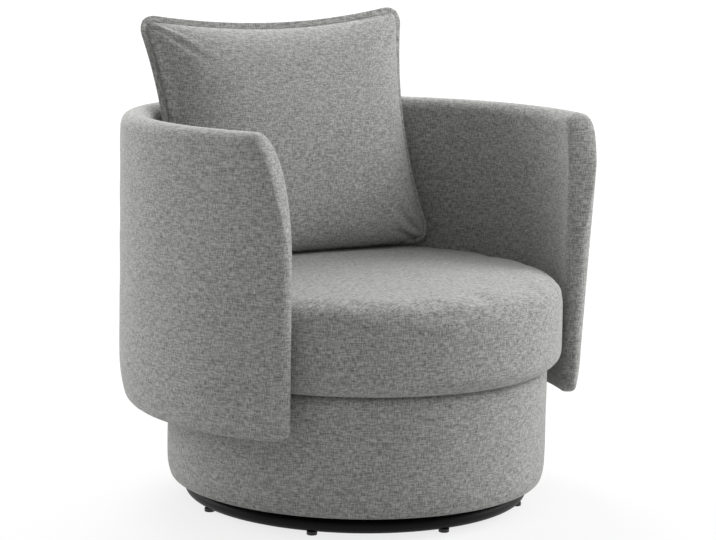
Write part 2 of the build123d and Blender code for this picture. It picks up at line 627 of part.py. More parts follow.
def shell_section(angle, tip_distance, inset):
    """Radial section of the shell: a rounded wall that narrows and drops towards the arm's tip.

    Its outer face leans out at the top and in at the bottom near the tip, and turns under at its lower edge.
    """
    past_tip = min(1.0, tip_distance / SHELL_DRAW_IN_LENGTH)
    tip_share = 1 - past_tip**2 * (3 - 2 * past_tip)
    top_fall = SHELL_CORNER_DROP * (1 - quarter_rise(tip_distance, SHELL_CORNER_SETBACK))
    low_rise = SHELL_LOWER_CORNER_RISE * (1 - quarter_rise(tip_distance, SHELL_LOWER_CORNER_SETBACK))
    top = SHELL_TOP_Z - inset - top_fall
    low = SHELL_BOTTOM_Z + inset + low_rise
    turn_height = SHELL_TURN_HEIGHT - inset
    nose = quarter_rise(tip_distance, SHELL_WALL / 2 - inset)
    inner = SHELL_INNER_RADIUS + inset
    faces = []
    for z in (low + turn_height, top):
        lean = (SHELL_TIP_DRAW_IN + SHELL_TIP_FLARE) * (SHELL_TOP_Z - z) / SHELL_HEIGHT - SHELL_TIP_FLARE
        outer = SHELL_RADIUS - inset - tip_share * lean
        half_width = nose * (outer - inner) / 2
        faces.append(((inner + outer) / 2 - half_width, (inner + outer) / 2 + half_width))
    (low_inner, low_outer), (top_inner, top_outer) = faces
    low_width = low_outer - low_inner
    low_edge = min(SHELL_BOTTOM_EDGE - inset, SHELL_EDGE_SHARE * low_width)
    top_edge = min(SHELL_TOP_EDGE - inset, SHELL_EDGE_SHARE * (top_outer - top_inner))
    turn_width = min(SHELL_TURN_UNDER - inset, SHELL_TURN_SHARE * low_width)
    turn_edge = turn_width * (SHELL_TURN_EDGE - inset) / (SHELL_TURN_UNDER - inset)
    under = turned_under(low_outer, low, turn_width, turn_height, turn_edge)
    corners = [(low_inner, low), (top_inner, top), (top_outer, top), under[0][0], under[1][2]]
    arcs = rounded_corners(corners, (low_edge, top_edge, top_edge)) + under
    edges = []
    for index, arc in enumerate(arcs):
        places = [polar(radius, angle, z) for radius, z in arc]
        edges.append(Edge.make_three_point_arc(*places))
        following = arcs[(index + 1) % len(arcs)][0]
        if following != arc[2]:
            edges.append(Edge.make_line(places[2], polar(following[0], angle, following[1])))
    return Wire(edges)


def shell_body(inset):
    """Solid of the shell's outer form, drawn in by an inset: a turned back and two lofted arm tips."""
    tip_angle = SHELL_TIP_ANGLE + degrees(inset / SHELL_MID_RADIUS)
    distances = [SHELL_TIP_START]
    for step in range(1, SHELL_TIP_STATIONS + 1):
        distances.append(SHELL_CORNER_SETBACK * (1 - cos(pi / 2 * step / SHELL_TIP_STATIONS)))
    arm_length = SHELL_DRAW_IN_LENGTH - SHELL_CORNER_SETBACK
    for step in range(1, SHELL_ARM_STATIONS + 1):
        distances.append(SHELL_CORNER_SETBACK + arm_length * step / SHELL_ARM_STATIONS)
    stations = [(tip_angle + degrees(d / SHELL_MID_RADIUS), d) for d in distances]
    arms = []
    for mirrored in (False, True):
        sections = []
        for angle, distance in stations:
            sections.append(shell_section(360 - angle if mirrored else angle, distance, inset))
        arms.append(Part(Solid.make_loft(sections).wrapped))
    back_start, back_distance = stations[-1]
    back_face = Face(shell_section(back_start, back_distance, inset))
    return revolve(back_face, Axis.Z, 360 - 2 * back_start) + arms


def frame_wall(inner, outer, z, height):
    """Curved rail or skin of the shell's frame, from one arm to the other."""
    return arc_wall(inner, outer, z, height, FRAME_TIP_ANGLE, 360 - 2 * FRAME_TIP_ANGLE)


def frame_posts():
    """Short posts between the three rails of the shell's frame."""
    mid_z = (FRAME_BOTTOM_Z + FRAME_TOP_Z - FRAME_MID_RAIL_HEIGHT) / 2
    bays = (
        (FRAME_BOTTOM_Z + FRAME_RAIL_HEIGHT, mid_z),
        (mid_z + FRAME_MID_RAIL_HEIGHT, FRAME_TOP_Z - FRAME_RAIL_HEIGHT),
    )
    edge_turn = degrees(FRAME_POST_WIDTH / (RAIL_INNER_RADIUS + RAIL_OUTER_RADIUS))
    first = FRAME_TIP_ANGLE + edge_turn
    step = (360 - 2 * first) / (FRAME_POST_COUNT - 1)
    posts = []
    for low, high in bays:
        for index in range(FRAME_POST_COUNT):
            angle = first + step * index
            post = arc_block(RAIL_INNER_RADIUS, RAIL_OUTER_RADIUS, low, high - low, angle, FRAME_POST_WIDTH)
            posts.extend(post.solids())
    return mid_z, Compound(posts)


def shell_nodes():
    """Shell: a bent frame of rails, posts and skins in foam, under a cover, bolted to the drum."""
    mid_z, posts = frame_posts()
    angles = shell_bolt_angles()
    nut_places = [
        Pos(*polar(RAIL_OUTER_RADIUS - FIT, angle, SHELL_BOLT_Z)) * Rot(0, 0, angle - 90) * Rot(0, 90, 0)
        for angle in angles
    ]
    bottom_rail = frame_wall(RAIL_INNER_RADIUS, RAIL_OUTER_RADIUS, FRAME_BOTTOM_Z, FRAME_RAIL_HEIGHT)
    bottom_rail -= [place * tee_seat() for place in nut_places]
    bottom_rail -= shell_bolt_holes(SHELL_INNER_RADIUS, RAIL_OUTER_RADIUS)
    frame_height = FRAME_TOP_Z - FRAME_BOTTOM_Z
    skins = []
    for inner in (FRAME_INNER_RADIUS, FRAME_OUTER_RADIUS - FRAME_SKIN):
        skins.append(frame_wall(inner, inner + FRAME_SKIN, FRAME_BOTTOM_Z, frame_height))
    inner_skin, outer_skin = skins
    frame_space = arc_wall(
        FRAME_INNER_RADIUS - FIT,
        FRAME_OUTER_RADIUS + FIT,
        FRAME_BOTTOM_Z - FIT,
        frame_height + 2 * FIT,
        FRAME_TIP_ANGLE - FIT,
        360 - 2 * (FRAME_TIP_ANGLE - FIT),
    )
    wall_holes = shell_bolt_holes(SHELL_INNER_RADIUS - COVER, RAIL_INNER_RADIUS)
    post_inner = DRUM_FRAME_RADIUS - DRUM_POST_DEPTH
    bolt_end = RAIL_OUTER_RADIUS - BOLT_TIP
    bolts = []
    spacers = []
    spacer_inner = DRUM_RADIUS + FIT
    spacer_outer = SHELL_INNER_RADIUS - FIT
    spacer_z = SHELL_BOLT_Z - SPACER_HEIGHT / 2
    for angle in angles:
        head_start = post_inner - BOLT_HEAD_HEIGHT
        head = radial_rod(BOLT_HEAD_RADIUS, head_start, post_inner, angle, SHELL_BOLT_Z)
        bolts.append(head + radial_rod(BOLT_RADIUS, post_inner, bolt_end, angle, SHELL_BOLT_Z))
        block = arc_block(spacer_inner, spacer_outer, spacer_z, SPACER_HEIGHT, angle, SPACER_WIDTH)
        hole = radial_rod(BOLT_HOLE_RADIUS, DRUM_RADIUS, SHELL_INNER_RADIUS, angle, SHELL_BOLT_Z)
        spacers.append(block - hole)
    return {
        "shell_bottom_rail": bottom_rail,
        "shell_mid_rail": frame_wall(RAIL_INNER_RADIUS, RAIL_OUTER_RADIUS, mid_z, FRAME_MID_RAIL_HEIGHT),
        "shell_top_rail": frame_wall(
            RAIL_INNER_RADIUS, RAIL_OUTER_RADIUS, FRAME_TOP_Z - FRAME_RAIL_HEIGHT, FRAME_RAIL_HEIGHT
        ),
        "shell_posts": posts,
        "shell_inner_skin": inner_skin - wall_holes,
        "shell_outer_skin": outer_skin,
        "shell_foam": shell_body(COVER + PADDING_GAP) - frame_space - wall_holes,
        "shell_cover": shell_body(0) - shell_body(COVER) - wall_holes,
        "shell_spacer_blocks": Compound(spacers),
        "shell_bolts": Compound(bolts),
        "shell_tee_nuts": Compound([place * tee_nut() for place in nut_places]),
    }


def bowed_edge(start, end, bow, depth):
    """Edge in an upright plane that bows to the left of its run by a height, or a straight line."""
    (x0, z0), (x1, z1) = start, end
    length = hypot(x1 - x0, z1 - z0)
    if abs(bow) < FIT:
        return Edge.make_line((x0, depth, z0), (x1, depth, z1))
    middle_x = (x0 + x1) / 2 - bow * (z1 - z0) / length
    middle_z = (z0 + z1) / 2 + bow * (x1 - x0) / length
    return Edge.make_three_point_arc((x0, depth, z0), (middle_x, depth, middle_z), (x1, depth, z1))


def pillow_outline(half_width, half_height, corner, draws, depth):
    """Outline of the pillow at a depth: bowed right, top, left and bottom sides with rounded corners."""
    sides = []
    corners = ((1, -1), (1, 1), (-1, 1), (-1, -1))
    for index, (sx, sz) in enumerate(corners):
        ex, ez = corners[(index + 1) % 4]
        along_x, along_z = (ex - sx) / 2, (ez - sz) / 2
        start = (sx * half_width + along_x * corner, sz * half_height + along_z * corner)
        end = (ex * half_width - along_x * corner, ez * half_height - along_z * corner)
        sides.append((start, end))
    edges = []
    corner_bow = corner * (1 - sqrt(0.5))
    for index, (start, end) in enumerate(sides):
        edges.append(bowed_edge(start, end, draws[index], depth))
        next_start = sides[(index + 1) % 4][0]
        chord_bow = corner * sqrt(0.5) - corner_bow * sqrt(2)
        edges.append(bowed_edge(end, next_start, -chord_bow, depth))
    return Wire(edges)


def pillow_half(inset, side):
    """Half of the pillow, from the seam plane to its crown in front (side -1) or behind (side 1)."""
    half_width = PILLOW_WIDTH / 2 - inset
    half_height = PILLOW_HEIGHT / 2 - inset
    half_thickness = PILLOW_THICKNESS / 2 - inset
    sections = []
    for level in range(PILLOW_LEVELS + 1):
        rise = sin(pi / 2 * level / PILLOW_LEVELS)
        spread = cos(pi / 2 * level / PILLOW_LEVELS)
        width = PILLOW_CROWN_HALF_WIDTH + (half_width - PILLOW_CROWN_HALF_WIDTH) * spread
        height = PILLOW_CROWN_HALF_HEIGHT + (half_height - PILLOW_CROWN_HALF_HEIGHT) * spread
        corner = PILLOW_CROWN_CORNER + (PILLOW_CORNER - PILLOW_CROWN_CORNER) * spread
        bulge = PILLOW_CROWN_BULGE * (1 - spread)
        side_draw = PILLOW_SIDE_DRAW * spread - bulge
        draws = (side_draw, PILLOW_TOP_DRAW * spread - bulge, side_draw, -bulge)
        sections.append(pillow_outline(width, height, corner, draws, side * half_thickness * rise))
    return Part(Solid.make_loft(sections).wrapped)


def pillow_body(inset):
    """Solid of the whole pillow, upright on its own seam plane, drawn in by an inset."""
    return pillow_half(inset, -1) + pillow_half(inset, 1)


def pillow_welt():
    """Flat welt round the pillow's seam, outside its body."""
    draws = (PILLOW_SIDE_DRAW, PILLOW_TOP_DRAW, PILLOW_SIDE_DRAW, 0)
    outlines = []
    for grow in (WELT_WIDTH, FIT):
        half_width = PILLOW_WIDTH / 2 + grow
        half_height = PILLOW_HEIGHT / 2 + grow
        outline = pillow_outline(half_width, half_height, PILLOW_CORNER + grow, draws, -WELT_THICKNESS / 2)
        outlines.append(extrude(Face(outline), WELT_THICKNESS, dir=(0, 1, 0)))
    return outlines[0] - outlines[1]


def pillow_place(pillow, seat):
    """Place where the tilted, turned pillow rests on the seat with its sides against the shell."""
    wall = ring(SHELL_INNER_RADIUS, SHELL_RADIUS, SHELL_BOTTOM_Z, SHELL_HEIGHT)
    tilt = Rot(-PILLOW_TILT, 0, 0)
    y = 0.0
    z = SEAT_EDGE_Z + SEAT_CROWN + PILLOW_HEIGHT / 2 + WELT_WIDTH + PILLOW_REST_GAP
    for _ in range(PILLOW_PLACING_ROUNDS):
        z -= (Pos(0, y, z) * tilt * pillow).distance_to(seat) - PILLOW_REST_GAP
        y += (Pos(0, y, z) * tilt * pillow).distance_to(wall) - PILLOW_REST_GAP
    z -= (Pos(0, y, z) * tilt * pillow).distance_to(seat) - PILLOW_REST_GAP
    return Rot(0, 0, -PILLOW_TURN) * Pos(0, y, z) * tilt


def zip_nodes():
    """Zip on the back of the welt's straight lower run, and its slider at one end."""
    centre_z = -PILLOW_HEIGHT / 2 - WELT_WIDTH / 2
    tape_y = WELT_THICKNESS / 2
    teeth_y = tape_y + ZIP_TAPE_THICKNESS
    teeth_length = ZIP_LENGTH - 2 * ZIP_END_MARGIN
    on_back = (Align.CENTER, Align.MIN, Align.CENTER)
    tape = Pos(0, tape_y, centre_z) * Box(ZIP_LENGTH, ZIP_TAPE_THICKNESS, ZIP_TAPE_HEIGHT, align=on_back)
    teeth = Box(teeth_length, ZIP_TEETH_THICKNESS, ZIP_TEETH_HEIGHT, align=on_back)
    teeth = Pos(0, teeth_y, centre_z) * teeth
    stop_height = ZIP_TEETH_HEIGHT + 2 * SLIDER_WALL
    stop_offset = (teeth_length - ZIP_STOP_LENGTH) / 2
    for side in (-1, 1):
        stop = Box(ZIP_STOP_LENGTH, ZIP_TEETH_THICKNESS, stop_height, align=on_back)
        teeth += Pos(side * stop_offset, teeth_y, centre_z) * stop
    slider_x = teeth_length / 2 - ZIP_STOP_LENGTH - SLIDER_LENGTH / 2 - TURN_GAP
    channel_height = ZIP_TEETH_HEIGHT + 2 * TURN_GAP
    channel_depth = ZIP_TEETH_THICKNESS + TURN_GAP
    shell_height = channel_height + 2 * SLIDER_WALL
    body = Pos(0, TURN_GAP, 0) * Box(
        SLIDER_LENGTH, channel_depth - TURN_GAP + SLIDER_WALL, shell_height, align=on_back
    )
    body -= Box(SLIDER_LENGTH, channel_depth, channel_height, align=on_back)
    pull_x = -(SLIDER_PULL_LENGTH - SLIDER_LENGTH) / 2
    pull = Pos(pull_x, channel_depth + SLIDER_WALL, 0) * Box(
        SLIDER_PULL_LENGTH, SLIDER_PULL_THICKNESS, SLIDER_PULL_WIDTH, align=on_back
    )
    slider = Pos(slider_x, teeth_y, centre_z) * (body + pull)
    return tape + teeth, slider


def pillow_nodes(seat):
    """Pillow: a filled insert in a cover with a welt, and a zip in its lower seam."""
    welt = pillow_welt()
    body = pillow_body(0)
    place = pillow_place(Compound([welt, body]), seat)
    zip_strip, slider = zip_nodes()
    return {
        "pillow_insert": place * pillow_body(COVER + PADDING_GAP),
        "pillow_cover": place * (body - pillow_body(COVER)),
        "pillow_welt": place * welt,
        "pillow_zip": place * zip_strip,
        "zip_slider": place * slider,
    }


def main():
    """Build every piece and write one file for each."""
    nodes = {**base_nodes(), **bearing_nodes(), **drum_nodes(), **seat_nodes(), **shell_nodes()}
    nodes.update(pillow_nodes(nodes["seat_cover"]))
    os.makedirs("parts", exist_ok=True)
    for name, shape in nodes.items():
        export_step(shape, f"parts/{name}.step")


main()
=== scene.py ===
"""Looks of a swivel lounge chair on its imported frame.

Metres, +Z up, the sitter faces -Y. Linen upholstery on the drum, the seat and the tub shell, a loose
pillow blown up by cloth simulation, a black floor ring, and a pale studio.
"""

import json
import logging
import math
from dataclasses import dataclass
from enum import Enum
from typing import Any

import bmesh
import bpy
import numpy as np
from mathutils import Matrix, Vector

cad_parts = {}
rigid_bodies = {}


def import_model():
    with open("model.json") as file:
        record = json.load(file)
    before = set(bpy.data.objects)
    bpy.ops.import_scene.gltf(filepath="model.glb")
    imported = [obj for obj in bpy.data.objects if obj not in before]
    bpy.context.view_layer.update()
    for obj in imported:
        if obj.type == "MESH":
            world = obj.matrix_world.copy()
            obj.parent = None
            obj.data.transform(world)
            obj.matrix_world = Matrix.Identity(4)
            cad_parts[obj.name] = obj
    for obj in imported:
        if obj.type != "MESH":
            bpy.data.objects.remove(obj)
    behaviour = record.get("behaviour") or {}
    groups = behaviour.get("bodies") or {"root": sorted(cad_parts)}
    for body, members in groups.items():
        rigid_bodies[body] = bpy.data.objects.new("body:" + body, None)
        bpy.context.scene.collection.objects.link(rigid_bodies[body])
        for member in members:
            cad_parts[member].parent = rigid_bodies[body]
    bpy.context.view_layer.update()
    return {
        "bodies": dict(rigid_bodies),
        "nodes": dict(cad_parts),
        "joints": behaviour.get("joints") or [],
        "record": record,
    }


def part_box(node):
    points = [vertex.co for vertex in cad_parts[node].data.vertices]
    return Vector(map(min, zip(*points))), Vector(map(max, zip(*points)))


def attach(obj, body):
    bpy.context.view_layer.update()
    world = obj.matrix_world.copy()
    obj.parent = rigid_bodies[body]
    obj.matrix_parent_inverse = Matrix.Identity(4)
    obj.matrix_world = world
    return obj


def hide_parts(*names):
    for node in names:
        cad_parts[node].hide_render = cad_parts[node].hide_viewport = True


LOG = logging.getLogger("lounge_chair")
WEAVE_UV = "weave"

# Pitch, lean and phase of the slow waves in a pulled cover
COVER_WAVES = ((0.31, 0.4, 0.3), (0.19, -0.7, 1.9), (0.127, 0.9, 4.1), (0.083, -0.3, 5.2))

Colour = tuple[float, float, float]
Triple = tuple[float, float, float]
Socket = bpy.types.NodeSocket


class Body(Enum):
    """Bodies of the frame that new pieces ride on."""

    CHAIR = "chair"
    PILLOW = "pillow"


class Slot(Enum):
    """Material slots of the record, by name; the new pieces are dressed without them."""

    LINEN = "grey_linen"


# Shader nodes


class ShaderSheet:
    """Node tree of one material, with short calls for the nodes that the finishes share."""

    def __init__(self, name: str) -> None:
        """Starts a material with one principled shader.

        Args:
            name: name of the material.
        """
        self.material = bpy.data.materials.new(name)
        self.material.use_nodes = True
        self.tree = self.material.node_tree
        self.tree.nodes.clear()
        output = self.tree.nodes.new("ShaderNodeOutputMaterial")
        self.shader = self.tree.nodes.new("ShaderNodeBsdfPrincipled")
        self.tree.links.new(self.shader.outputs["BSDF"], output.inputs["Surface"])

    def put(self, socket: Socket, value: Any) -> None:
        """Links an input to another node's output, or sets the input's own value."""
        if isinstance(value, bpy.types.NodeSocket):
            self.tree.links.new(value, socket)
        else:
            socket.default_value = value

    def set(self, **inputs: Any) -> None:
        """Sets inputs of the principled shader, named with underscores for spaces."""
        for name, value in inputs.items():
            if isinstance(value, tuple) and len(value) == 3:
                value = (*value, 1.0)
            self.put(self.shader.inputs[name.replace("_", " ")], value)

    def place(self) -> Socket:
        """Object coordinates, in metres."""
        return self.tree.nodes.new("ShaderNodeTexCoord").outputs["Object"]

    def weave(self) -> Socket:
        """The piece's own cloth coordinates, in metres."""
        node = self.tree.nodes.new("ShaderNodeUVMap")
        node.uv_map = WEAVE_UV
        return node.outputs["UV"]

    def split(self, vector: Socket) -> tuple[Socket, Socket, Socket]:
        """The three parts of a vector."""
        node = self.tree.nodes.new("ShaderNodeSeparateXYZ")
        self.put(node.inputs[0], vector)
        return node.outputs[0], node.outputs[1], node.outputs[2]

    def math(self, operation: str, first: Any, second: Any = 0.0) -> Socket:
        """One arithmetic step on two values or outputs."""
        node = self.tree.nodes.new("ShaderNodeMath")
        node.operation = operation
        self.put(node.inputs[0], first)
        self.put(node.inputs[1], second)
        return node.outputs[0]

    def scaled(self, vector: Socket, scale: Triple, shift: float = 0.0) -> Socket:
        """A vector stretched along its three axes and shifted, so that patterns don't repeat."""
        node = self.tree.nodes.new("ShaderNodeMapping")
        self.put(node.inputs["Vector"], vector)
        node.inputs["Scale"].default_value = scale
        node.inputs["Location"].default_value = (shift, shift, shift)
        return node.outputs[0]

    def ripple(self, value: Socket, pitch: float) -> Socket:
        """Round ridges between 0 and 1 at an even pitch: the size of a sine of the value."""
        return self.math("ABSOLUTE", self.math("SINE", self.math("MULTIPLY", value, math.pi / pitch)))

    def noise(self, vector: Socket, scale: float, detail: float = 2.0) -> Socket:
        """Soft noise between 0 and 1, with a middle of 0.5."""
        node = self.tree.nodes.new("ShaderNodeTexNoise")
        self.put(node.inputs["Vector"], vector)
        node.inputs["Scale"].default_value = scale
        node.inputs["Detail"].default_value = detail
        return node.outputs["Fac"]

    def blend(self, parts: list[tuple[Socket, float]], base: float = 0.5) -> Socket:
        """A base value plus each part's departure from 0.5 times its weight."""
        total: Any = base
        for socket, weight in parts:
            step = self.math("MULTIPLY", self.math("SUBTRACT", socket, 0.5), weight)
            total = self.math("ADD", step, total)
        return total

    def ramp(self, value: Socket, stops: list[tuple[float, Colour]]) -> Socket:
        """A colour that runs through the given stops as the value rises."""
        node = self.tree.nodes.new("ShaderNodeValToRGB")
        self.put(node.inputs[0], value)
        elements = node.color_ramp.elements
        while len(elements) < len(stops):
            elements.new(0.5)
        for element, (position, colour) in zip(elements, stops):
            element.position = position
            element.color = (*colour, 1.0)
        return node.outputs[0]

    def bump(self, height: Socket, depth: float, strength: float = 1.0) -> None:
        """Raises the surface's shading by a height between 0 and 1 times a depth in metres."""
        node = self.tree.nodes.new("ShaderNodeBump")
        node.inputs["Strength"].default_value = strength
        node.inputs["Distance"].default_value = depth
        self.put(node.inputs["Height"], height)
        self.put(self.shader.inputs["Normal"], node.outputs[0])


# Finishes


@dataclass(frozen=True)
class Linen:
    """Plain-woven upholstery linen: round yarns over and under, thicker slubs along both yarns."""

    name: str = "grey_linen"
    dark: Colour = (0.130, 0.131, 0.126)
    middle: Colour = (0.285, 0.287, 0.279)
    light: Colour = (0.470, 0.472, 0.460)
    dark_tone: float = 0.15
    light_tone: float = 0.85
    yarn_pitch: float = 0.0017
    wander_scale: float = 90.0
    slub_width: float = 0.0019
    slub_length: float = 0.010
    weft_shift: float = 31.7
    patch_size: float = 0.06
    # weight of the painted shade between the yarns, and painted light on their crowns, in the tone
    painted_yarn_shade: float = 0.20
    patch_tone: float = 0.08
    yarn_rise: float = 0.55
    slub_rise: float = 0.7
    bump_depth: float = 0.0004
    bump_strength: float = 0.8
    roughness: float = 0.86
    roughness_spread: float = 0.2
    sheen: float = 0.25
    sheen_roughness: float = 0.45
    sheen_tint: Colour = (0.95, 0.95, 0.92)
    specular: float = 0.25

    def build(self, sheet: ShaderSheet) -> None:
        """Lays the weave, slubs, soft patches and sheen on the cloth coordinates, with painted shade
        between the yarns.
        """
        cloth = sheet.weave()
        wander = sheet.blend([(sheet.noise(cloth, self.wander_scale, 1.0), self.yarn_pitch)], 0.0)
        across, along, _ = sheet.split(cloth)
        warp = sheet.math("DIVIDE", sheet.math("ADD", across, wander), self.yarn_pitch)
        weft = sheet.math("DIVIDE", sheet.math("SUBTRACT", along, wander), self.yarn_pitch)
        warp_round, weft_round = sheet.ripple(warp, 1.0), sheet.ripple(weft, 1.0)
        cell = sheet.math("ADD", sheet.math("FLOOR", warp), sheet.math("FLOOR", weft))
        over = sheet.math("FLOORED_MODULO", cell, 2.0)
        rise = sheet.math("MULTIPLY", over, sheet.math("SUBTRACT", warp_round, weft_round))
        yarn = sheet.math("ADD", weft_round, rise)
        thin, long = 1.0 / self.slub_width, 1.0 / self.slub_length
        warp_slub = sheet.noise(sheet.scaled(cloth, (thin, long, 1.0)), 1.0, 1.0)
        weft_slub = sheet.noise(sheet.scaled(cloth, (long, thin, 1.0), self.weft_shift), 1.0, 1.0)
        patch = sheet.noise(cloth, 1.0 / self.patch_size, 3.0)
        # the yarns' height darkens the tone between the yarns as painted shade; slubs and patches are the
        # cloth's own tone
        tone = sheet.blend(
            [(warp_slub, 1.0), (weft_slub, 1.0), (yarn, self.painted_yarn_shade), (patch, self.patch_tone)]
        )
        stops = [(self.dark_tone, self.dark), (0.5, self.middle), (self.light_tone, self.light)]
        sheet.set(
            Base_Color=sheet.ramp(tone, stops),
            Roughness=sheet.blend([(tone, self.roughness_spread)], self.roughness),
            Sheen_Weight=self.sheen,
            Sheen_Roughness=self.sheen_roughness,
            Sheen_Tint=self.sheen_tint,
            Specular_IOR_Level=self.specular,
        )
        height = sheet.blend(
            [(yarn, self.yarn_rise), (warp_slub, self.slub_rise), (weft_slub, self.slub_rise)]
        )
        sheet.bump(height, self.bump_depth, self.bump_strength)


@dataclass(frozen=True)
class BlackSteel:
    """Black satin lacquer on steel, with a fine orange-peel grain and faint dust."""

    name: str = "black_steel"
    coat: Colour = (0.0020, 0.0021, 0.0023)
    dust: Colour = (0.007, 0.007, 0.0068)
    roughness: float = 0.46
    specular: float = 0.14
    cloud_scale: float = 14.0
    grain_scale: float = 900.0
    grain_depth: float = 0.00012

    def build(self, sheet: ShaderSheet) -> None:
        """Varies the lacquer's tone and gloss in soft clouds and raises a fine grain."""
        place = sheet.place()
        cloud = sheet.noise(place, self.cloud_scale, 4.0)
        grain = sheet.noise(place, self.grain_scale)
        sheet.set(
            Base_Color=sheet.ramp(cloud, [(0.42, self.coat), (0.85, self.dust)]),
            Roughness=sheet.blend([(cloud, 0.22), (grain, 0.08)], self.roughness),
            Specular_IOR_Level=self.specular,
        )
        sheet.bump(grain, self.grain_depth, 0.5)


@dataclass(frozen=True)
class PlatedSteel:
    """Plated or polished steel with fine drawn scratches and soft stains."""

    name: str
    bright: Colour = (0.62, 0.62, 0.60)
    stain: Colour = (0.36, 0.35, 0.33)
    roughness: float = 0.32
    scratch: Triple = (900.0, 60.0, 60.0)
    scratch_depth: float = 0.00005
    stain_scale: float = 35.0

    def build(self, sheet: ShaderSheet) -> None:
        """Draws scratches along one axis and mixes in stains."""
        place = sheet.place()
        drawn = sheet.noise(sheet.scaled(place, self.scratch), 1.0, 3.0)
        cloud = sheet.noise(place, self.stain_scale, 4.0)
        tone = sheet.blend([(cloud, 1.0), (drawn, 0.4)])
        sheet.set(
            Base_Color=sheet.ramp(tone, [(0.25, self.stain), (0.6, self.bright)]),
            Metallic=1.0,
            Roughness=sheet.blend([(drawn, 0.25), (cloud, 0.2)], self.roughness),
        )
        sheet.bump(drawn, self.scratch_depth, 0.4)


@dataclass(frozen=True)
class Plywood:
    """Birch plywood: pale veneer with long grain, thin ply lines and darker flecks."""

    name: str = "plywood"
    pale: Colour = (0.60, 0.44, 0.27)
    grain: Colour = (0.40, 0.26, 0.13)
    fleck: Colour = (0.25, 0.15, 0.07)
    ply: float = 0.0015
    fibre_scale: Triple = (6.0, 120.0, 90.0)
    cloud_scale: Triple = (2.0, 14.0, 14.0)
    grain_depth: float = 0.0003

    def build(self, sheet: ShaderSheet) -> None:
        """Stretches grain along X and layers thin plies up the board."""
        place = sheet.place()
        fibre = sheet.noise(sheet.scaled(place, self.fibre_scale), 1.0, 4.0)
        cloud = sheet.noise(sheet.scaled(place, self.cloud_scale, 5.0), 1.0, 3.0)
        _, _, up = sheet.split(place)
        tone = sheet.blend([(fibre, 0.9), (cloud, 0.6), (sheet.ripple(up, self.ply), 0.15)])
        sheet.set(
            Base_Color=sheet.ramp(tone, [(0.2, self.fleck), (0.42, self.grain), (0.66, self.pale)]),
            Roughness=sheet.blend([(fibre, 0.25)], 0.62),
        )
        sheet.bump(tone, self.grain_depth, 0.5)


@dataclass(frozen=True)
class Moulded:
    """Moulded plastic with a fine spark-eroded grain and slightly polished patches."""

    name: str
    colour: Colour = (0.012, 0.012, 0.012)
    worn: Colour = (0.035, 0.035, 0.034)
    roughness: float = 0.48
    grain_scale: float = 1400.0
    grain_depth: float = 0.0001
    cloud_scale: float = 60.0

    def build(self, sheet: ShaderSheet) -> None:
        """Grains the surface and polishes it in patches."""
        place = sheet.place()
        grain = sheet.noise(place, self.grain_scale)
        cloud = sheet.noise(place, self.cloud_scale, 3.0)
        sheet.set(
            Base_Color=sheet.ramp(cloud, [(0.4, self.colour), (0.8, self.worn)]),
            Roughness=sheet.blend([(grain, 0.15), (cloud, 0.25)], self.roughness),
        )
        sheet.bump(grain, self.grain_depth, 0.5)


@dataclass(frozen=True)
class Felt:
    """Pressed fibre felt: short fibres in two directions over soft clouds."""

    name: str = "black_felt"
    deep: Colour = (0.008, 0.008, 0.009)
    fibre: Colour = (0.045, 0.045, 0.047)
    first_scale: Triple = (900.0, 160.0, 400.0)
    second_scale: Triple = (160.0, 900.0, 400.0)
    cloud_scale: float = 40.0
    fibre_depth: float = 0.0006
    sheen: float = 0.2

    def build(self, sheet: ShaderSheet) -> None:
        """Mixes fibres of two directions with soft clouds."""
        place = sheet.place()
        first = sheet.noise(sheet.scaled(place, self.first_scale), 1.0)
        second = sheet.noise(sheet.scaled(place, self.second_scale, 9.0), 1.0)
        cloud = sheet.noise(place, self.cloud_scale, 3.0)
        tone = sheet.blend([(first, 0.8), (second, 0.8), (cloud, 0.4)])
        sheet.set(
            Base_Color=sheet.ramp(tone, [(0.3, self.deep), (0.75, self.fibre)]),
            Roughness=sheet.blend([(cloud, 0.1)], 0.94),
            Sheen_Weight=self.sheen,
        )
        sheet.bump(tone, self.fibre_depth, 0.8)


@dataclass(frozen=True)
class Webbing:
    """Woven narrow tape: ribs in both directions, painted shade between them, with a frayed tone."""

    name: str
    base: Colour
    # colour of the painted shade between the ribs
    line: Colour
    rib: float = 0.0022
    rib_depth: float = 0.0005
    fray_scale: float = 450.0
    sheen: float = 0.15

    def build(self, sheet: ShaderSheet) -> None:
        """Ribs the tape in both level directions, paints shade between the ribs and frays its tone."""
        place = sheet.place()
        x, y, _ = sheet.split(place)
        weave = sheet.math("MULTIPLY", sheet.ripple(x, self.rib), sheet.ripple(y, self.rib))
        fray = sheet.noise(place, self.fray_scale, 3.0)
        # the ribs' height darkens the tone between them as painted shade; the fray is the tape's own tone
        tone = sheet.blend([(weave, 0.5), (fray, 0.8)])
        sheet.set(
            Base_Color=sheet.ramp(tone, [(0.3, self.line), (0.7, self.base)]),
            Roughness=sheet.blend([(fray, 0.15)], 0.84),
            Sheen_Weight=self.sheen,
        )
        sheet.bump(weave, self.rib_depth, 0.7)


LINEN = Linen()
BLACK_STEEL = BlackSteel()
ZINC_STEEL = PlatedSteel("zinc_steel")
BALL_STEEL = PlatedSteel("ball_steel", (0.74, 0.74, 0.74), (0.60, 0.60, 0.60), 0.12, (300.0, 300.0, 300.0))
PLYWOOD = Plywood()
BLACK_PLASTIC = Moulded("black_plastic")
FELT = Felt()
SEAT_WEBBING = Webbing("webbing", (0.30, 0.22, 0.13), (0.05, 0.045, 0.04))
ZIP_TAPE = Webbing("zip_tape", (0.20, 0.20, 0.19), (0.09, 0.09, 0.085), 0.0012)

Finish = Linen | BlackSteel | PlatedSteel | Plywood | Moulded | Felt | Webbing


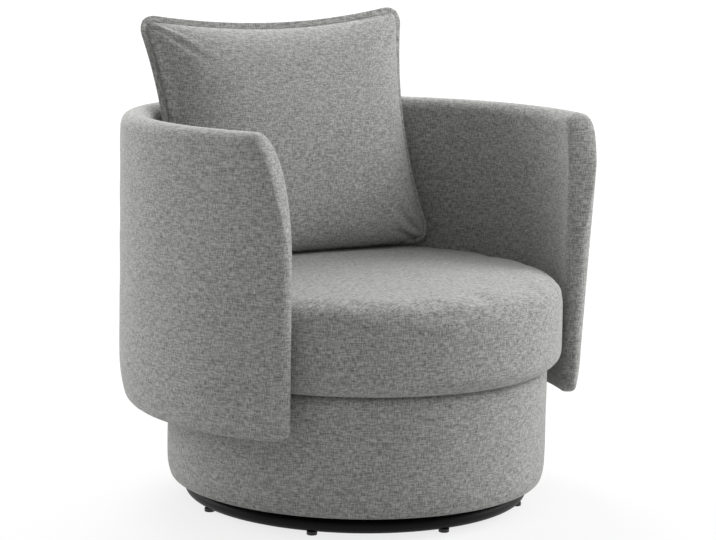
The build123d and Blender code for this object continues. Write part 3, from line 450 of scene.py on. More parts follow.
def material_of(finish: Finish) -> bpy.types.Material:
    """The finish's material, made on first use.

    Args:
        finish: the finish to look up.

    Returns:
        Its Blender material.
    """
    name = f"chair_{finish.name}"
    found = bpy.data.materials.get(name)
    if found is None:
        sheet = ShaderSheet(name)
        finish.build(sheet)
        found = sheet.material
    return found


def dress(piece: bpy.types.Object, finish: Finish) -> None:
    """Gives every material slot of a piece one finish."""
    material = material_of(finish)
    if not piece.material_slots:
        piece.data.materials.append(material)
    for slot in piece.material_slots:
        slot.material = material


def keep_solids(
    nodes: dict[str, bpy.types.Object], groups: tuple[tuple[tuple[str, ...], Finish], ...]
) -> None:
    """Dresses CAD nodes that stay in sight as they are.

    Args:
        nodes: the frame's objects by node name.
        groups: node names, each group with the finish that it shares.
    """
    for names, finish in groups:
        for name in names:
            dress(nodes[name], finish)
            LOG.info("%s keeps its solid", name)


# Surfaces


def cells(grid: np.ndarray) -> np.ndarray:
    """Values at the four corners of each cell of a grid, one row a cell.

    Args:
        grid: values on a grid, rows by columns, with any further axes.

    Returns:
        Cells by four corners, in turning order, with the further axes kept.
    """
    corners = np.stack([grid[:-1, :-1], grid[1:, :-1], grid[1:, 1:], grid[:-1, 1:]], axis=2)
    return corners.reshape(-1, 4, *grid.shape[2:])


def closed_index(rows: int, columns: int, close_rows: bool, close_columns: bool) -> np.ndarray:
    """Vertex numbers of a grid, with its first row or column repeated where it closes on itself."""
    index = np.arange(rows * columns).reshape(rows, columns)
    return np.pad(index, ((0, int(close_rows)), (0, int(close_columns))), mode="wrap")


def new_piece(
    name: str, points: np.ndarray, quads: np.ndarray, cloth: np.ndarray | None = None
) -> bpy.types.Object:
    """Makes a smooth mesh object whose faces point outwards.

    Args:
        name: name of the piece.
        points: vertex places, one row each.
        quads: four vertex numbers a face.
        cloth: cloth coordinates of each face's corners, if the piece is woven.

    Returns:
        The new object, at the origin.
    """
    first, second, third, fourth = (points[quads[:, corner]] for corner in range(4))
    volume = np.sum(first * np.cross(second, third)) + np.sum(first * np.cross(third, fourth))
    if volume < 0:
        quads = quads[:, ::-1]
        cloth = None if cloth is None else cloth[:, ::-1]
    mesh = bpy.data.meshes.new(name)
    mesh.vertices.add(len(points))
    mesh.vertices.foreach_set("co", np.ascontiguousarray(points, np.float32).ravel())
    mesh.loops.add(quads.size)
    mesh.loops.foreach_set("vertex_index", np.ascontiguousarray(quads, np.int32).ravel())
    mesh.polygons.add(len(quads))
    mesh.polygons.foreach_set("loop_start", np.arange(0, quads.size, 4, dtype=np.int32))
    mesh.polygons.foreach_set("use_smooth", np.ones(len(quads), bool))
    if cloth is not None:
        layer = mesh.uv_layers.new(name=WEAVE_UV)
        layer.data.foreach_set("uv", np.ascontiguousarray(cloth, np.float32).ravel())
    mesh.update(calc_edges=True)
    piece = bpy.data.objects.new(name, mesh)
    bpy.context.scene.collection.objects.link(piece)
    return piece


def weld(piece: bpy.types.Object, distance: float) -> None:
    """Joins vertices of a piece that lie closer together than a distance."""
    work = bmesh.new()
    work.from_mesh(piece.data)
    bmesh.ops.remove_doubles(work, verts=work.verts, dist=distance)
    work.to_mesh(piece.data)
    work.free()


def read_points(mesh: bpy.types.Mesh) -> np.ndarray:
    """Vertex places of a mesh as an array, one row each."""
    flat = np.empty(len(mesh.vertices) * 3, np.float32)
    mesh.vertices.foreach_get("co", flat)
    return flat.reshape(-1, 3).astype(float)


def face_normals(corners: np.ndarray) -> np.ndarray:
    """Unit normals of four-cornered faces, square to both diagonals."""
    normal = np.cross(corners[:, 2] - corners[:, 0], corners[:, 3] - corners[:, 1])
    return normal / (np.linalg.norm(normal, axis=1, keepdims=True) + 1e-12)


def round_cloth(points: np.ndarray, quads: np.ndarray, radius: float) -> np.ndarray:
    """Cloth coordinates of a turned piece.

    Level faces take their x and y. Upright faces are unrolled: angle from the front times the radius,
    and height.

    Args:
        points: vertex places.
        quads: four vertex numbers a face.
        radius: radius of the upright side.

    Returns:
        Two coordinates for each corner of each face, in metres.
    """
    corners = points[quads]
    middle = corners.mean(axis=1)
    bearing = np.arctan2(middle[:, 0], -middle[:, 1])[:, None]
    turn = np.arctan2(corners[..., 0], -corners[..., 1]) - bearing
    turn = (turn + math.pi) % (2 * math.pi) - math.pi + bearing
    unrolled = np.stack([turn * radius, corners[..., 2]], axis=2)
    level = np.abs(face_normals(corners)[:, 2]) > math.sqrt(0.5)
    return np.where(level[:, None, None], corners[..., :2], unrolled)


def quarter_arc(centre: tuple[float, float], radius: float, start: float, steps: int) -> np.ndarray:
    """Points of a quarter circle in a plane, from a start angle in quarter turns, turning left."""
    angle = (start + np.linspace(0.0, 1.0, steps + 1)) * math.pi / 2
    return np.stack([centre[0] + radius * np.cos(angle), centre[1] + radius * np.sin(angle)], axis=1)


def turned_under(
    outer: np.ndarray, low: np.ndarray, width: np.ndarray, height: float, edge: np.ndarray, steps: int
) -> np.ndarray:
    """Lower edge of an upright side: a large circle arc, then a small one, that meet without a kink.

    The large arc leaves the side upright at a height over the underside. The small arc has the edge's
    radius and ends level, a width in from the side.

    Args:
        outer: radius of the side, for each section.
        low: height of the underside.
        width: how far the side comes in.
        height: height over which it does so.
        edge: radius of the small arc.
        steps: number of steps in each arc.

    Returns:
        Sections by points by radius and height, from the side down to the underside.
    """
    large = (width**2 + (height - edge) ** 2 - edge**2) / (2 * (width - edge))
    turn = np.arctan2(height - edge, large - width)[..., None]
    share = np.linspace(0.0, 1.0, steps + 1)
    first = turn * share
    second = turn + (math.pi / 2 - turn) * share[1:]
    outer, low, width, edge, large = (value[..., None] for value in (outer, low, width, edge, large))
    reach = [outer - large + large * np.cos(first), outer - width + edge * np.cos(second)]
    rise = [low + height - large * np.sin(first), low + edge - edge * np.sin(second)]
    return np.stack([np.concatenate(reach, axis=-1), np.concatenate(rise, axis=-1)], axis=-1)


def rounded(
    before: np.ndarray, corner: np.ndarray, after: np.ndarray, radius: np.ndarray, steps: int
) -> np.ndarray:
    """Circle arc that rounds the corner of each section between two straight sides.

    Args:
        before: radius and height of a point on the side before the corner.
        corner: the corner itself.
        after: a point on the side after it.
        radius: rounding radius.
        steps: number of steps in the arc.

    Returns:
        Sections by points by radius and height.
    """
    legs = [end - corner for end in (before, after)]
    legs = [leg / np.linalg.norm(leg, axis=1, keepdims=True) for leg in legs]
    opening = np.arccos(np.clip(np.sum(legs[0] * legs[1], axis=1), -1.0, 1.0))
    bisector = legs[0] + legs[1]
    bisector = bisector / np.linalg.norm(bisector, axis=1, keepdims=True)
    centre = corner + bisector * (radius / np.sin(opening / 2))[:, None]
    reach = (radius / np.tan(opening / 2))[:, None]
    start, end = corner + legs[0] * reach - centre, corner + legs[1] * reach - centre
    swing = (math.pi - opening)[:, None, None]
    share = np.linspace(0.0, 1.0, steps + 1)[None, :, None]
    turned = np.sin((1.0 - share) * swing) * start[:, None] + np.sin(share * swing) * end[:, None]
    return centre[:, None] + turned / np.sin(swing)


def between(first: np.ndarray, last: np.ndarray, count: int) -> np.ndarray:
    """Evenly spaced points strictly between two ends of each section."""
    share = np.linspace(0.0, 1.0, count + 2)[1:-1][None, :, None]
    return first[:, None] * (1.0 - share) + last[:, None] * share


def resample(path: np.ndarray, count: int) -> np.ndarray:
    """A path's points spread evenly along its length."""
    length = np.concatenate([[0.0], np.cumsum(np.linalg.norm(np.diff(path, axis=0), axis=1))])
    even = np.linspace(0.0, length[-1], count)
    return np.stack([np.interp(even, length, path[:, axis]) for axis in range(path.shape[1])], axis=1)


def waves(across: np.ndarray, up: np.ndarray) -> np.ndarray:
    """Soft unevenness of a pulled cover: a sum of slow waves in two directions, about -1 to 1."""
    up_stretch, level = 1.7, 2.5
    total = np.zeros(np.broadcast(across, up).shape)
    for pitch, lean, phase in COVER_WAVES:
        slanted = np.sin(2 * math.pi * (across + lean * up) / pitch + phase)
        total = total + slanted * np.cos(2 * math.pi * up / (up_stretch * pitch) + 2 * phase)
    return total / level


@dataclass(frozen=True)
class Stuffing:
    """Cloth settings for a sewn cover blown up by its filling."""

    pressure: float
    frames: int
    tension: float = 40.0
    shear: float = 12.0
    bending: float = 2.0
    mass: float = 0.25
    quality: int = 7

    def swell(
        self, piece: bpy.types.Object, held: np.ndarray | None = None, cut: np.ndarray | None = None
    ) -> np.ndarray:
        """Runs Blender's cloth with inner pressure and no gravity.

        Args:
            piece: closed cover to blow up; its mesh isn't changed.
            held: vertex numbers that stay where they are.
            cut: vertex places of the cloth as it was cut, which set its unstretched size.

        Returns:
            The vertex places after the last frame.
        """
        modifier = piece.modifiers.new("filling", "CLOTH")
        settings = modifier.settings
        settings.quality = self.quality
        settings.mass = self.mass
        settings.tension_stiffness = self.tension
        settings.compression_stiffness = self.tension
        settings.shear_stiffness = self.shear
        settings.bending_stiffness = self.bending
        settings.use_pressure = True
        settings.uniform_pressure_force = self.pressure
        settings.effector_weights.gravity = 0.0
        modifier.collision_settings.use_collision = False
        modifier.point_cache.frame_start = 1
        modifier.point_cache.frame_end = self.frames
        if held is not None:
            group = piece.vertex_groups.new(name="held")
            group.add(held.tolist(), 1.0, "REPLACE")
            settings.vertex_group_mass = group.name
        if cut is not None:
            piece.shape_key_add(name="sewn")
            key = piece.shape_key_add(name="cut")
            key.data.foreach_set("co", cut.astype(np.float32).ravel())
            settings.rest_shape_key = key
        scene = bpy.context.scene
        for frame in range(1, self.frames + 1):
            scene.frame_set(frame)
        shown = piece.evaluated_get(bpy.context.evaluated_depsgraph_get())
        points = read_points(shown.to_mesh())
        shown.to_mesh_clear()
        piece.modifiers.remove(modifier)
        piece.vertex_groups.clear()
        scene.frame_set(1)
        return points


def smooth_finish(piece: bpy.types.Object) -> None:
    """Adds one level of subdivision, the same on screen and in a render."""
    modifier = piece.modifiers.new("smooth", "SUBSURF")
    modifier.levels = 1
    modifier.render_levels = 1


def settle(
    piece: bpy.types.Object, body: Body, finish: Finish, nodes: tuple[str, ...]
) -> None:
    """Puts a new piece on its body in place of its CAD nodes.

    Args:
        piece: the new piece.
        body: body that it moves with.
        finish: its finish.
        nodes: CAD nodes that it stands for.
    """
    dress(piece, finish)
    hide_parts(*nodes)
    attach(piece, body.value)
    LOG.info("%s stands for %s", piece.name, ", ".join(nodes))


# Sub-assemblies


@dataclass
class FloorBase:
    """Floor ring with its glides, spokes and hub plate, the bearing and the pivot."""

    lacquered: tuple[str, ...] = ("floor_ring", "floor_ring_spokes", "hub_plate")
    plated: tuple[str, ...] = (
        "lower_race",
        "lower_race_screws",
        "upper_race",
        "upper_race_screws",
        "pivot_bolt",
        "pivot_washer",
        "pivot_nut",
    )
    polished: tuple[str, ...] = ("bearing_balls",)
    moulded: tuple[str, ...] = ("floor_glides", "ball_cage", "pivot_bush")

    def build(self, nodes: dict[str, bpy.types.Object]) -> None:
        """Dresses the CAD nodes of the base and the bearing."""
        groups = (
            (self.lacquered, BLACK_STEEL),
            (self.plated, ZINC_STEEL),
            (self.polished, BALL_STEEL),
            (self.moulded, BLACK_PLASTIC),
        )
        keep_solids(nodes, groups)


@dataclass
class HiddenFrame:
    """Boards, posts, rails, webbing and fasteners inside the upholstery."""

    wooden: tuple[str, ...] = (
        "drum_bottom_board",
        "drum_posts",
        "drum_top_board",
        "drum_panel",
        "seat_frame_ring",
        "shell_bottom_rail",
        "shell_mid_rail",
        "shell_top_rail",
        "shell_posts",
        "shell_inner_skin",
        "shell_outer_skin",
        "shell_spacer_blocks",
    )
    plated: tuple[str, ...] = (
        "drum_post_screws",
        "seat_bolts",
        "seat_tee_nuts",
        "shell_bolts",
        "shell_tee_nuts",
    )
    webbed: tuple[str, ...] = ("seat_webbing_long", "seat_webbing_cross")
    felted: tuple[str, ...] = ("drum_dust_cover",)

    def build(self, nodes: dict[str, bpy.types.Object]) -> None:
        """Dresses the CAD nodes of the frame inside the chair."""
        groups = (
            (self.wooden, PLYWOOD),
            (self.plated, ZINC_STEEL),
            (self.webbed, SEAT_WEBBING),
            (self.felted, FELT),
        )
        keep_solids(nodes, groups)


@dataclass
class Drum:
    """Upholstered drum under the seat: a padded band with its fabric turned in at both ends."""

    turn_under: float = 0.013
    turn_height: float = 0.036
    turn_edge: float = 0.008
    upper_edge: float = 0.0185
    hem: float = 0.045
    padding: float = 0.0095
    fabric: float = 0.002
    turns: int = 288
    side_steps: int = 44
    arc_steps: int = 8
    unevenness: float = 0.0006

    def outer_path(self, radius: float, low: float, high: float) -> np.ndarray:
        """Section of the shown side, from the lower hem to the upper one.

        A turned-under lower edge, the upright side, and a quarter circle at the upper edge.

        Args:
            radius: radius of the side.
            low: height of the lower hem.
            high: height of the upper hem.

        Returns:
            Radius and height along the section.
        """
        upper = (radius - self.upper_edge, high - self.upper_edge)
        sizes = (np.array(size) for size in (radius, low, self.turn_under))
        under = turned_under(*sizes, self.turn_height, np.array(self.turn_edge), self.arc_steps)
        path = [
            np.array([[radius - self.hem, low]]),
            under[::-1],
            np.linspace(under[0], (radius, upper[1]), self.side_steps)[1:-1],
            quarter_arc(upper, self.upper_edge, 0.0, self.arc_steps),
            np.array([[radius - self.hem, high]]),
        ]
        return np.concatenate(path)

    def build(self) -> None:
        """Carries the band's closed section round the swivel axis."""
        lowest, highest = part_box("drum_cover")
        radius = highest[0]
        outer = self.outer_path(radius, lowest[2], highest[2])
        inner_radius = radius - self.padding
        inner = np.array(
            [
                [radius - self.hem, highest[2] - self.fabric],
                [radius - self.upper_edge, highest[2] - self.fabric],
                [inner_radius, highest[2] - self.upper_edge],
                [inner_radius, lowest[2] + self.fabric],
                [radius - self.hem, lowest[2] + self.fabric],
            ]
        )
        section = np.concatenate([outer, inner])
        turn = np.linspace(-math.pi, math.pi, self.turns, endpoint=False)[:, None]
        shown = np.arange(len(section)) < len(outer)
        upright = np.clip(
            np.minimum(section[:, 1] - lowest[2], highest[2] - section[:, 1]) / self.padding, 0.0, 1.0
        )
        swell = self.unevenness * waves(turn * radius, section[None, :, 1]) * (upright * shown)
        reach = section[None, :, 0] - self.unevenness + swell
        height = np.broadcast_to(section[:, 1], reach.shape)
        points = np.stack([reach * np.sin(turn), -reach * np.cos(turn), height], axis=2).reshape(-1, 3)
        quads = cells(closed_index(self.turns, len(section), True, True))
        piece = new_piece("drum_upholstery", points, quads, round_cloth(points, quads, radius))
        settle(piece, Body.CHAIR, LINEN, ("drum_cover", "drum_padding"))


@dataclass
class Seat:
    """Round seat cushion: a foam block whose cover is swollen by its filling."""

    lower_edge: float = 0.025
    upper_edge: float = 0.030
    crown: float = 0.012
    slack: float = 0.004
    cap: float = 0.0045
    resting_band: float = 0.001
    grid: int = 121
    top_steps: int = 60
    arc_steps: int = 16
    path_steps: int = 400
    stuffing: Stuffing = Stuffing(pressure=3.0, frames=14)

    def half_paths(self, radius: float, low: float, high: float) -> tuple[np.ndarray, np.ndarray]:
        """Sections of the cushion from its middle to half way up its side, over the top and below.

        The top is a shallow parabola that falls by the crown towards the rounded upper edge.

        Args:
            radius: radius of the side.
            low: height of the underside.
            high: height of the crown.

        Returns:
            Radius and height along the upper and the lower path.
        """
        edge = high - self.crown
        half = (low + edge) / 2
        shoulder = radius - self.upper_edge
        top_radius = np.linspace(0.0, shoulder, self.top_steps)[:-1]
        top = np.stack([top_radius, high - self.crown * (top_radius / shoulder) ** 2], axis=1)
        upper_centre = (shoulder, edge - self.upper_edge)
        lower_centre = (radius - self.lower_edge, low + self.lower_edge)
        upper_corner = quarter_arc(upper_centre, self.upper_edge, 0.0, self.arc_steps)[::-1]
        lower_corner = quarter_arc(lower_centre, self.lower_edge, -1.0, self.arc_steps)
        upper = np.concatenate([top, upper_corner, [[radius, half]]])
        lower = np.concatenate([[[0.0, low]], lower_corner, [[radius, half]]])
        return upper, lower

    def disc(self) -> tuple[np.ndarray, np.ndarray]:
        """A square grid bent to a disc: rings of squares become circles.

        Returns:
            Radius share and angle of each grid point.
        """
        line = np.linspace(-1.0, 1.0, self.grid)
        a, b = np.meshgrid(line, line, indexing="ij")
        share = np.maximum(np.abs(a), np.abs(b))
        safe = np.where(share > 0, share, 1.0)
        wide = np.abs(a) >= np.abs(b)
        quarter = math.pi / 4
        angle = np.where(
            wide,
            np.where(a >= 0, 0.0, math.pi) + quarter * np.divide(b, np.where(wide & (share > 0), a, 1.0)),
            np.where(b >= 0, 1.0, -1.0) * math.pi / 2 - quarter * np.divide(a, np.where(wide, safe, b)),
        )
        return share, angle

    def sheet(self, path: np.ndarray) -> np.ndarray:
        """One half of the cushion's surface: the path from middle to side carried over the disc grid."""
        share, angle = self.disc()
        even = resample(path, self.path_steps)
        spread = np.linspace(0.0, 1.0, len(even))
        reach = np.interp(share, spread, even[:, 0])
        height = np.interp(share, spread, even[:, 1])
        return np.stack([reach * np.cos(angle), reach * np.sin(angle), height], axis=2)

    def build(self) -> None:
        """Makes the cover a little small, swells it, and caps how far each point moves."""
        lowest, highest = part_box("seat_cover")
        radius, low, high = highest[0], lowest[2], highest[2]
        full = [self.sheet(path) for path in self.half_paths(radius, low, high)]
        small_paths = self.half_paths(radius - self.slack, low, high - self.slack)
        small = [self.sheet(path) for path in small_paths]
        top_index = np.arange(self.grid**2).reshape(self.grid, self.grid)
        low_index = top_index.copy()
        inside = (self.grid - 2) ** 2
        low_index[1:-1, 1:-1] = self.grid**2 + np.arange(inside).reshape(self.grid - 2, self.grid - 2)
        quads = np.concatenate([cells(top_index), cells(low_index)[:, ::-1]])
        full_points, points = (
            np.concatenate([half[0].reshape(-1, 3), half[1][1:-1, 1:-1].reshape(-1, 3)])
            for half in (full, small)
        )
        cloth = round_cloth(full_points, quads, radius)
        piece = new_piece("seat_cushion", points, quads, cloth)
        resting = np.flatnonzero(points[:, 2] < low + self.resting_band)
        step = self.stuffing.swell(piece, resting) - points
        length = np.linalg.norm(step, axis=1, keepdims=True)
        points = points + step * np.minimum(1.0, self.cap / np.maximum(length, 1e-9))
        piece.data.vertices.foreach_set("co", points.astype(np.float32).ravel())
        piece.data.update()
        smooth_finish(piece)
        settle(piece, Body.CHAIR, LINEN, ("seat_cover", "seat_foam"))


@dataclass
class TubShell:
    """C-shaped padded wall of the back and both arms, with falling rounded corners at its tips."""

    tip_angle: float = math.radians(56.0)
    wall: float = 0.050
    height: float = 0.500
    draw_in: float = 0.019
    flare: float = 0.008
    draw_in_length: float = 0.170
    corner_setback: float = 0.065
    corner_drop: float = 0.245
    lower_corner_setback: float = 0.034
    lower_corner_rise: float = 0.018
    top_edge: float = 0.022
    bottom_edge: float = 0.009
    edge_share: float = 0.45
    turn_under: float = 0.0255
    turn_height: float = 0.075
    turn_edge: float = 0.016
    turn_share: float = 0.52
    step: float = 0.0062
    nose_steps: int = 12
    arc_steps: int = 7
    unevenness: float = 0.0008
    pleat: float = 0.0009
    pleat_pitch: float = 0.013
    pleat_height: float = 0.035
    pleat_place: float = 0.050
    pleat_spread: float = 0.03
    side_phase: float = 0.4
    least_nose: float = 0.002
    weld_distance: float = 0.00015
    inner_shift: float = 7.0
    front_shift: float = 11.0

    @staticmethod
    def quarter_rise(distance: np.ndarray, length: float) -> np.ndarray:
        """Height share of a quarter ellipse: 0 at its end, 1 at and past its length."""
        return np.sqrt(1.0 - np.clip(1.0 - distance / length, 0.0, 1.0) ** 2)

    def stations(self, radius: float) -> tuple[np.ndarray, np.ndarray]:
        """Stations along the wall's middle line, close together at the rounded tips.

        Args:
            radius: radius of the wall's middle line.

        Returns:
            Distance of each station from the first tip and from the nearest tip.
        """
        half_length = (math.pi - self.tip_angle) * radius
        nose = self.wall / 2 * (1.0 - np.cos(np.linspace(0.0, math.pi / 2, self.nose_steps + 1)))
        count = int((half_length - self.wall / 2) / self.step)
        half = np.concatenate([nose, np.linspace(self.wall / 2, half_length, count)[1:]])
        near = np.concatenate([half, half[-2::-1]])
        along = np.concatenate([half, 2 * half_length - half[-2::-1]])
        return along, near

    def loops(self, near: np.ndarray, radius: float, low: float) -> tuple[np.ndarray, int]:
        """Closed radial sections, from the middle of the bottom up the inner face and down the outer.

        The top falls and the bottom rises along quarter ellipses near a tip, the wall closes there in
        a half-round nose, and the outer face leans out at the top and in at the bottom. Circle arcs
        round the edges, and the outer face turns under at its lower edge.

        Args:
            near: distance of each station from the nearest tip.
            radius: outer radius.
            low: height of the wall's lower edge.

        Returns:
            Stations by loop points by radius and height, and the number of the top's middle point.
        """
        past = np.clip(near / self.draw_in_length, 0.0, 1.0)
        tip_share = 1.0 - past**2 * (3.0 - 2.0 * past)
        top = low + self.height - self.corner_drop * (1.0 - self.quarter_rise(near, self.corner_setback))
        lower_rise = self.quarter_rise(near, self.lower_corner_setback)
        bottom = low + self.lower_corner_rise * (1.0 - lower_rise)
        nose = np.maximum(self.quarter_rise(near, self.wall / 2), self.least_nose)
        inner = radius - self.wall
        sides = []
        for z in (bottom + self.turn_height, top):
            fall = (low + self.height - z) / self.height
            outer = radius - tip_share * ((self.draw_in + self.flare) * fall - self.flare)
            sides.append([(inner + outer) / 2 + sign * nose * (outer - inner) / 2 for sign in (-1.0, 1.0)])
        (low_inner, low_outer), (top_inner, top_outer) = sides
        low_edge = np.minimum(self.bottom_edge, self.edge_share * (low_outer - low_inner))
        top_edge = np.minimum(self.top_edge, self.edge_share * (top_outer - top_inner))
        turn_width = np.minimum(self.turn_under, self.turn_share * (low_outer - low_inner))
        turn_edge = turn_width * self.turn_edge / self.turn_under
        under = turned_under(low_outer, bottom, turn_width, self.turn_height, turn_edge, self.arc_steps)
        foot, inner_top, outer_top = (
            np.stack(pair, axis=1) for pair in ((low_inner, bottom), (top_inner, top), (top_outer, top))
        )
        foot_arc = rounded(under[:, -1], foot, inner_top, low_edge, self.arc_steps)
        inner_arc = rounded(foot, inner_top, outer_top, top_edge, self.arc_steps)
        outer_arc = rounded(inner_top, outer_top, under[:, 0], top_edge, self.arc_steps)
        side_count = int(self.height / self.step)
        bottom_middle = (under[:, -1] + foot_arc[:, 0]) / 2
        top_middle = (inner_arc[:, -1] + outer_arc[:, 0]) / 2
        inner_half = [
            bottom_middle[:, None],
            between(bottom_middle, foot_arc[:, 0], 1),
            foot_arc,
            between(foot_arc[:, -1], inner_arc[:, 0], side_count),
            inner_arc,
            between(inner_arc[:, -1], top_middle, 1),
        ]
        outer_half = [
            top_middle[:, None],
            between(top_middle, outer_arc[:, 0], 1),
            outer_arc,
            between(outer_arc[:, -1], under[:, 0], side_count),
            under,
            between(under[:, -1], bottom_middle, 1),
        ]
        top_number = sum(part.shape[1] for part in inner_half)
        return np.concatenate(inner_half + outer_half, axis=1), top_number

    def face_cloth(self, points: np.ndarray, top_number: int) -> np.ndarray:
        """Cloth coordinates of the inner and the outer face, one chart for each.

        Across is the level length along a line half way up the face. Up is that line's height plus the
        length along the section from there.

        Args:
            points: stations by loop points by place, with the first loop point repeated at the end.
            top_number: number of the top's middle point.

        Returns:
            Coordinates of each cell's corners.
        """
        step = np.linalg.norm(np.diff(points, axis=1), axis=2)
        length = np.concatenate([np.zeros((len(points), 1)), np.cumsum(step, axis=1)], axis=1)
        halves = (
            (slice(0, top_number + 1), 1.0, self.inner_shift),
            (slice(top_number, None), -1.0, 0.0),
        )
        charts = []
        for part, sign, shift in halves:
            face, section = points[:, part], length[:, part]
            half_way = face.shape[1] // 2
            line = face[:, half_way]
            run = np.linalg.norm(np.diff(line[:, :2], axis=0), axis=1)
            across = np.concatenate([[0.0], np.cumsum(run)]) + shift
            up = line[:, 2:] + sign * (section - section[:, half_way : half_way + 1])
            chart = np.stack(np.broadcast_arrays(across[:, None], up), axis=2)
            charts.append(cells(chart).reshape(len(points) - 1, -1, 4, 2))
        return np.concatenate(charts, axis=1).reshape(-1, 4, 2)

    def cloth(self, points: np.ndarray, top_number: int) -> np.ndarray:
        """Cloth coordinates of the wall: the faces' own charts, and one for the fronts of the arms.

        On a front, which faces along the wall more than out of it or up, across is the radius and up
        the height.

        Args:
            points: stations by loop points by place, with the first loop point repeated at the end.
            top_number: number of the top's middle point.

        Returns:
            Coordinates of each cell's corners.
        """
        corners = cells(points)
        normal = face_normals(corners)
        radial = corners.mean(axis=1)[:, :2]
        radial /= np.linalg.norm(radial, axis=1, keepdims=True)
        outward = np.abs((normal[:, :2] * radial).sum(axis=1))
        forward = np.abs(normal[:, 1] * radial[:, 0] - normal[:, 0] * radial[:, 1])
        front = forward > np.maximum(outward, np.abs(normal[:, 2]))
        reach = np.linalg.norm(corners[..., :2], axis=2) + self.front_shift
        fronts = np.stack([reach, corners[..., 2]], axis=2)
        return np.where(front[:, None, None], fronts, self.face_cloth(points, top_number))

    def build(self) -> None:
        """Carries the changing section along the arc, with soft waves and small pleats low on the arms."""
        lowest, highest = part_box("shell_cover")
        radius, low = highest[0], lowest[2]
        middle = radius - self.wall / 2
        along, near = self.stations(middle)
        section, top_number = self.loops(near, radius, low)
        turn = self.tip_angle + along / middle
        reach, z = section[..., 0], section[..., 1]
        centre = (reach.min(axis=1) + reach.max(axis=1))[:, None] / 2
        side = np.clip((reach - centre) / (self.wall / 4), -1.0, 1.0)
        free = np.clip(near / self.wall, 0.0, 1.0)[:, None]
        uneven = self.unevenness * waves(along[:, None] + self.side_phase * side, z) * free
        from_pleats = (near - self.pleat_place)[:, None] / self.pleat_spread
        fade = np.exp(-(z - low) / self.pleat_height - from_pleats**2)
        pleats = self.pleat * fade * np.sin(2 * math.pi * along[:, None] / self.pleat_pitch)
        reach = reach + side * (uneven + pleats - self.unevenness)
        points = np.stack([reach * np.sin(turn)[:, None], -reach * np.cos(turn)[:, None], z], axis=2)
        looped = np.concatenate([points, points[:, :1]], axis=1)
        quads = cells(closed_index(*points.shape[:2], False, True))
        piece = new_piece("shell_upholstery", points.reshape(-1, 3), quads, self.cloth(looped, top_number))
        weld(piece, self.weld_distance)
        settle(piece, Body.CHAIR, LINEN, ("shell_cover", "shell_foam"))


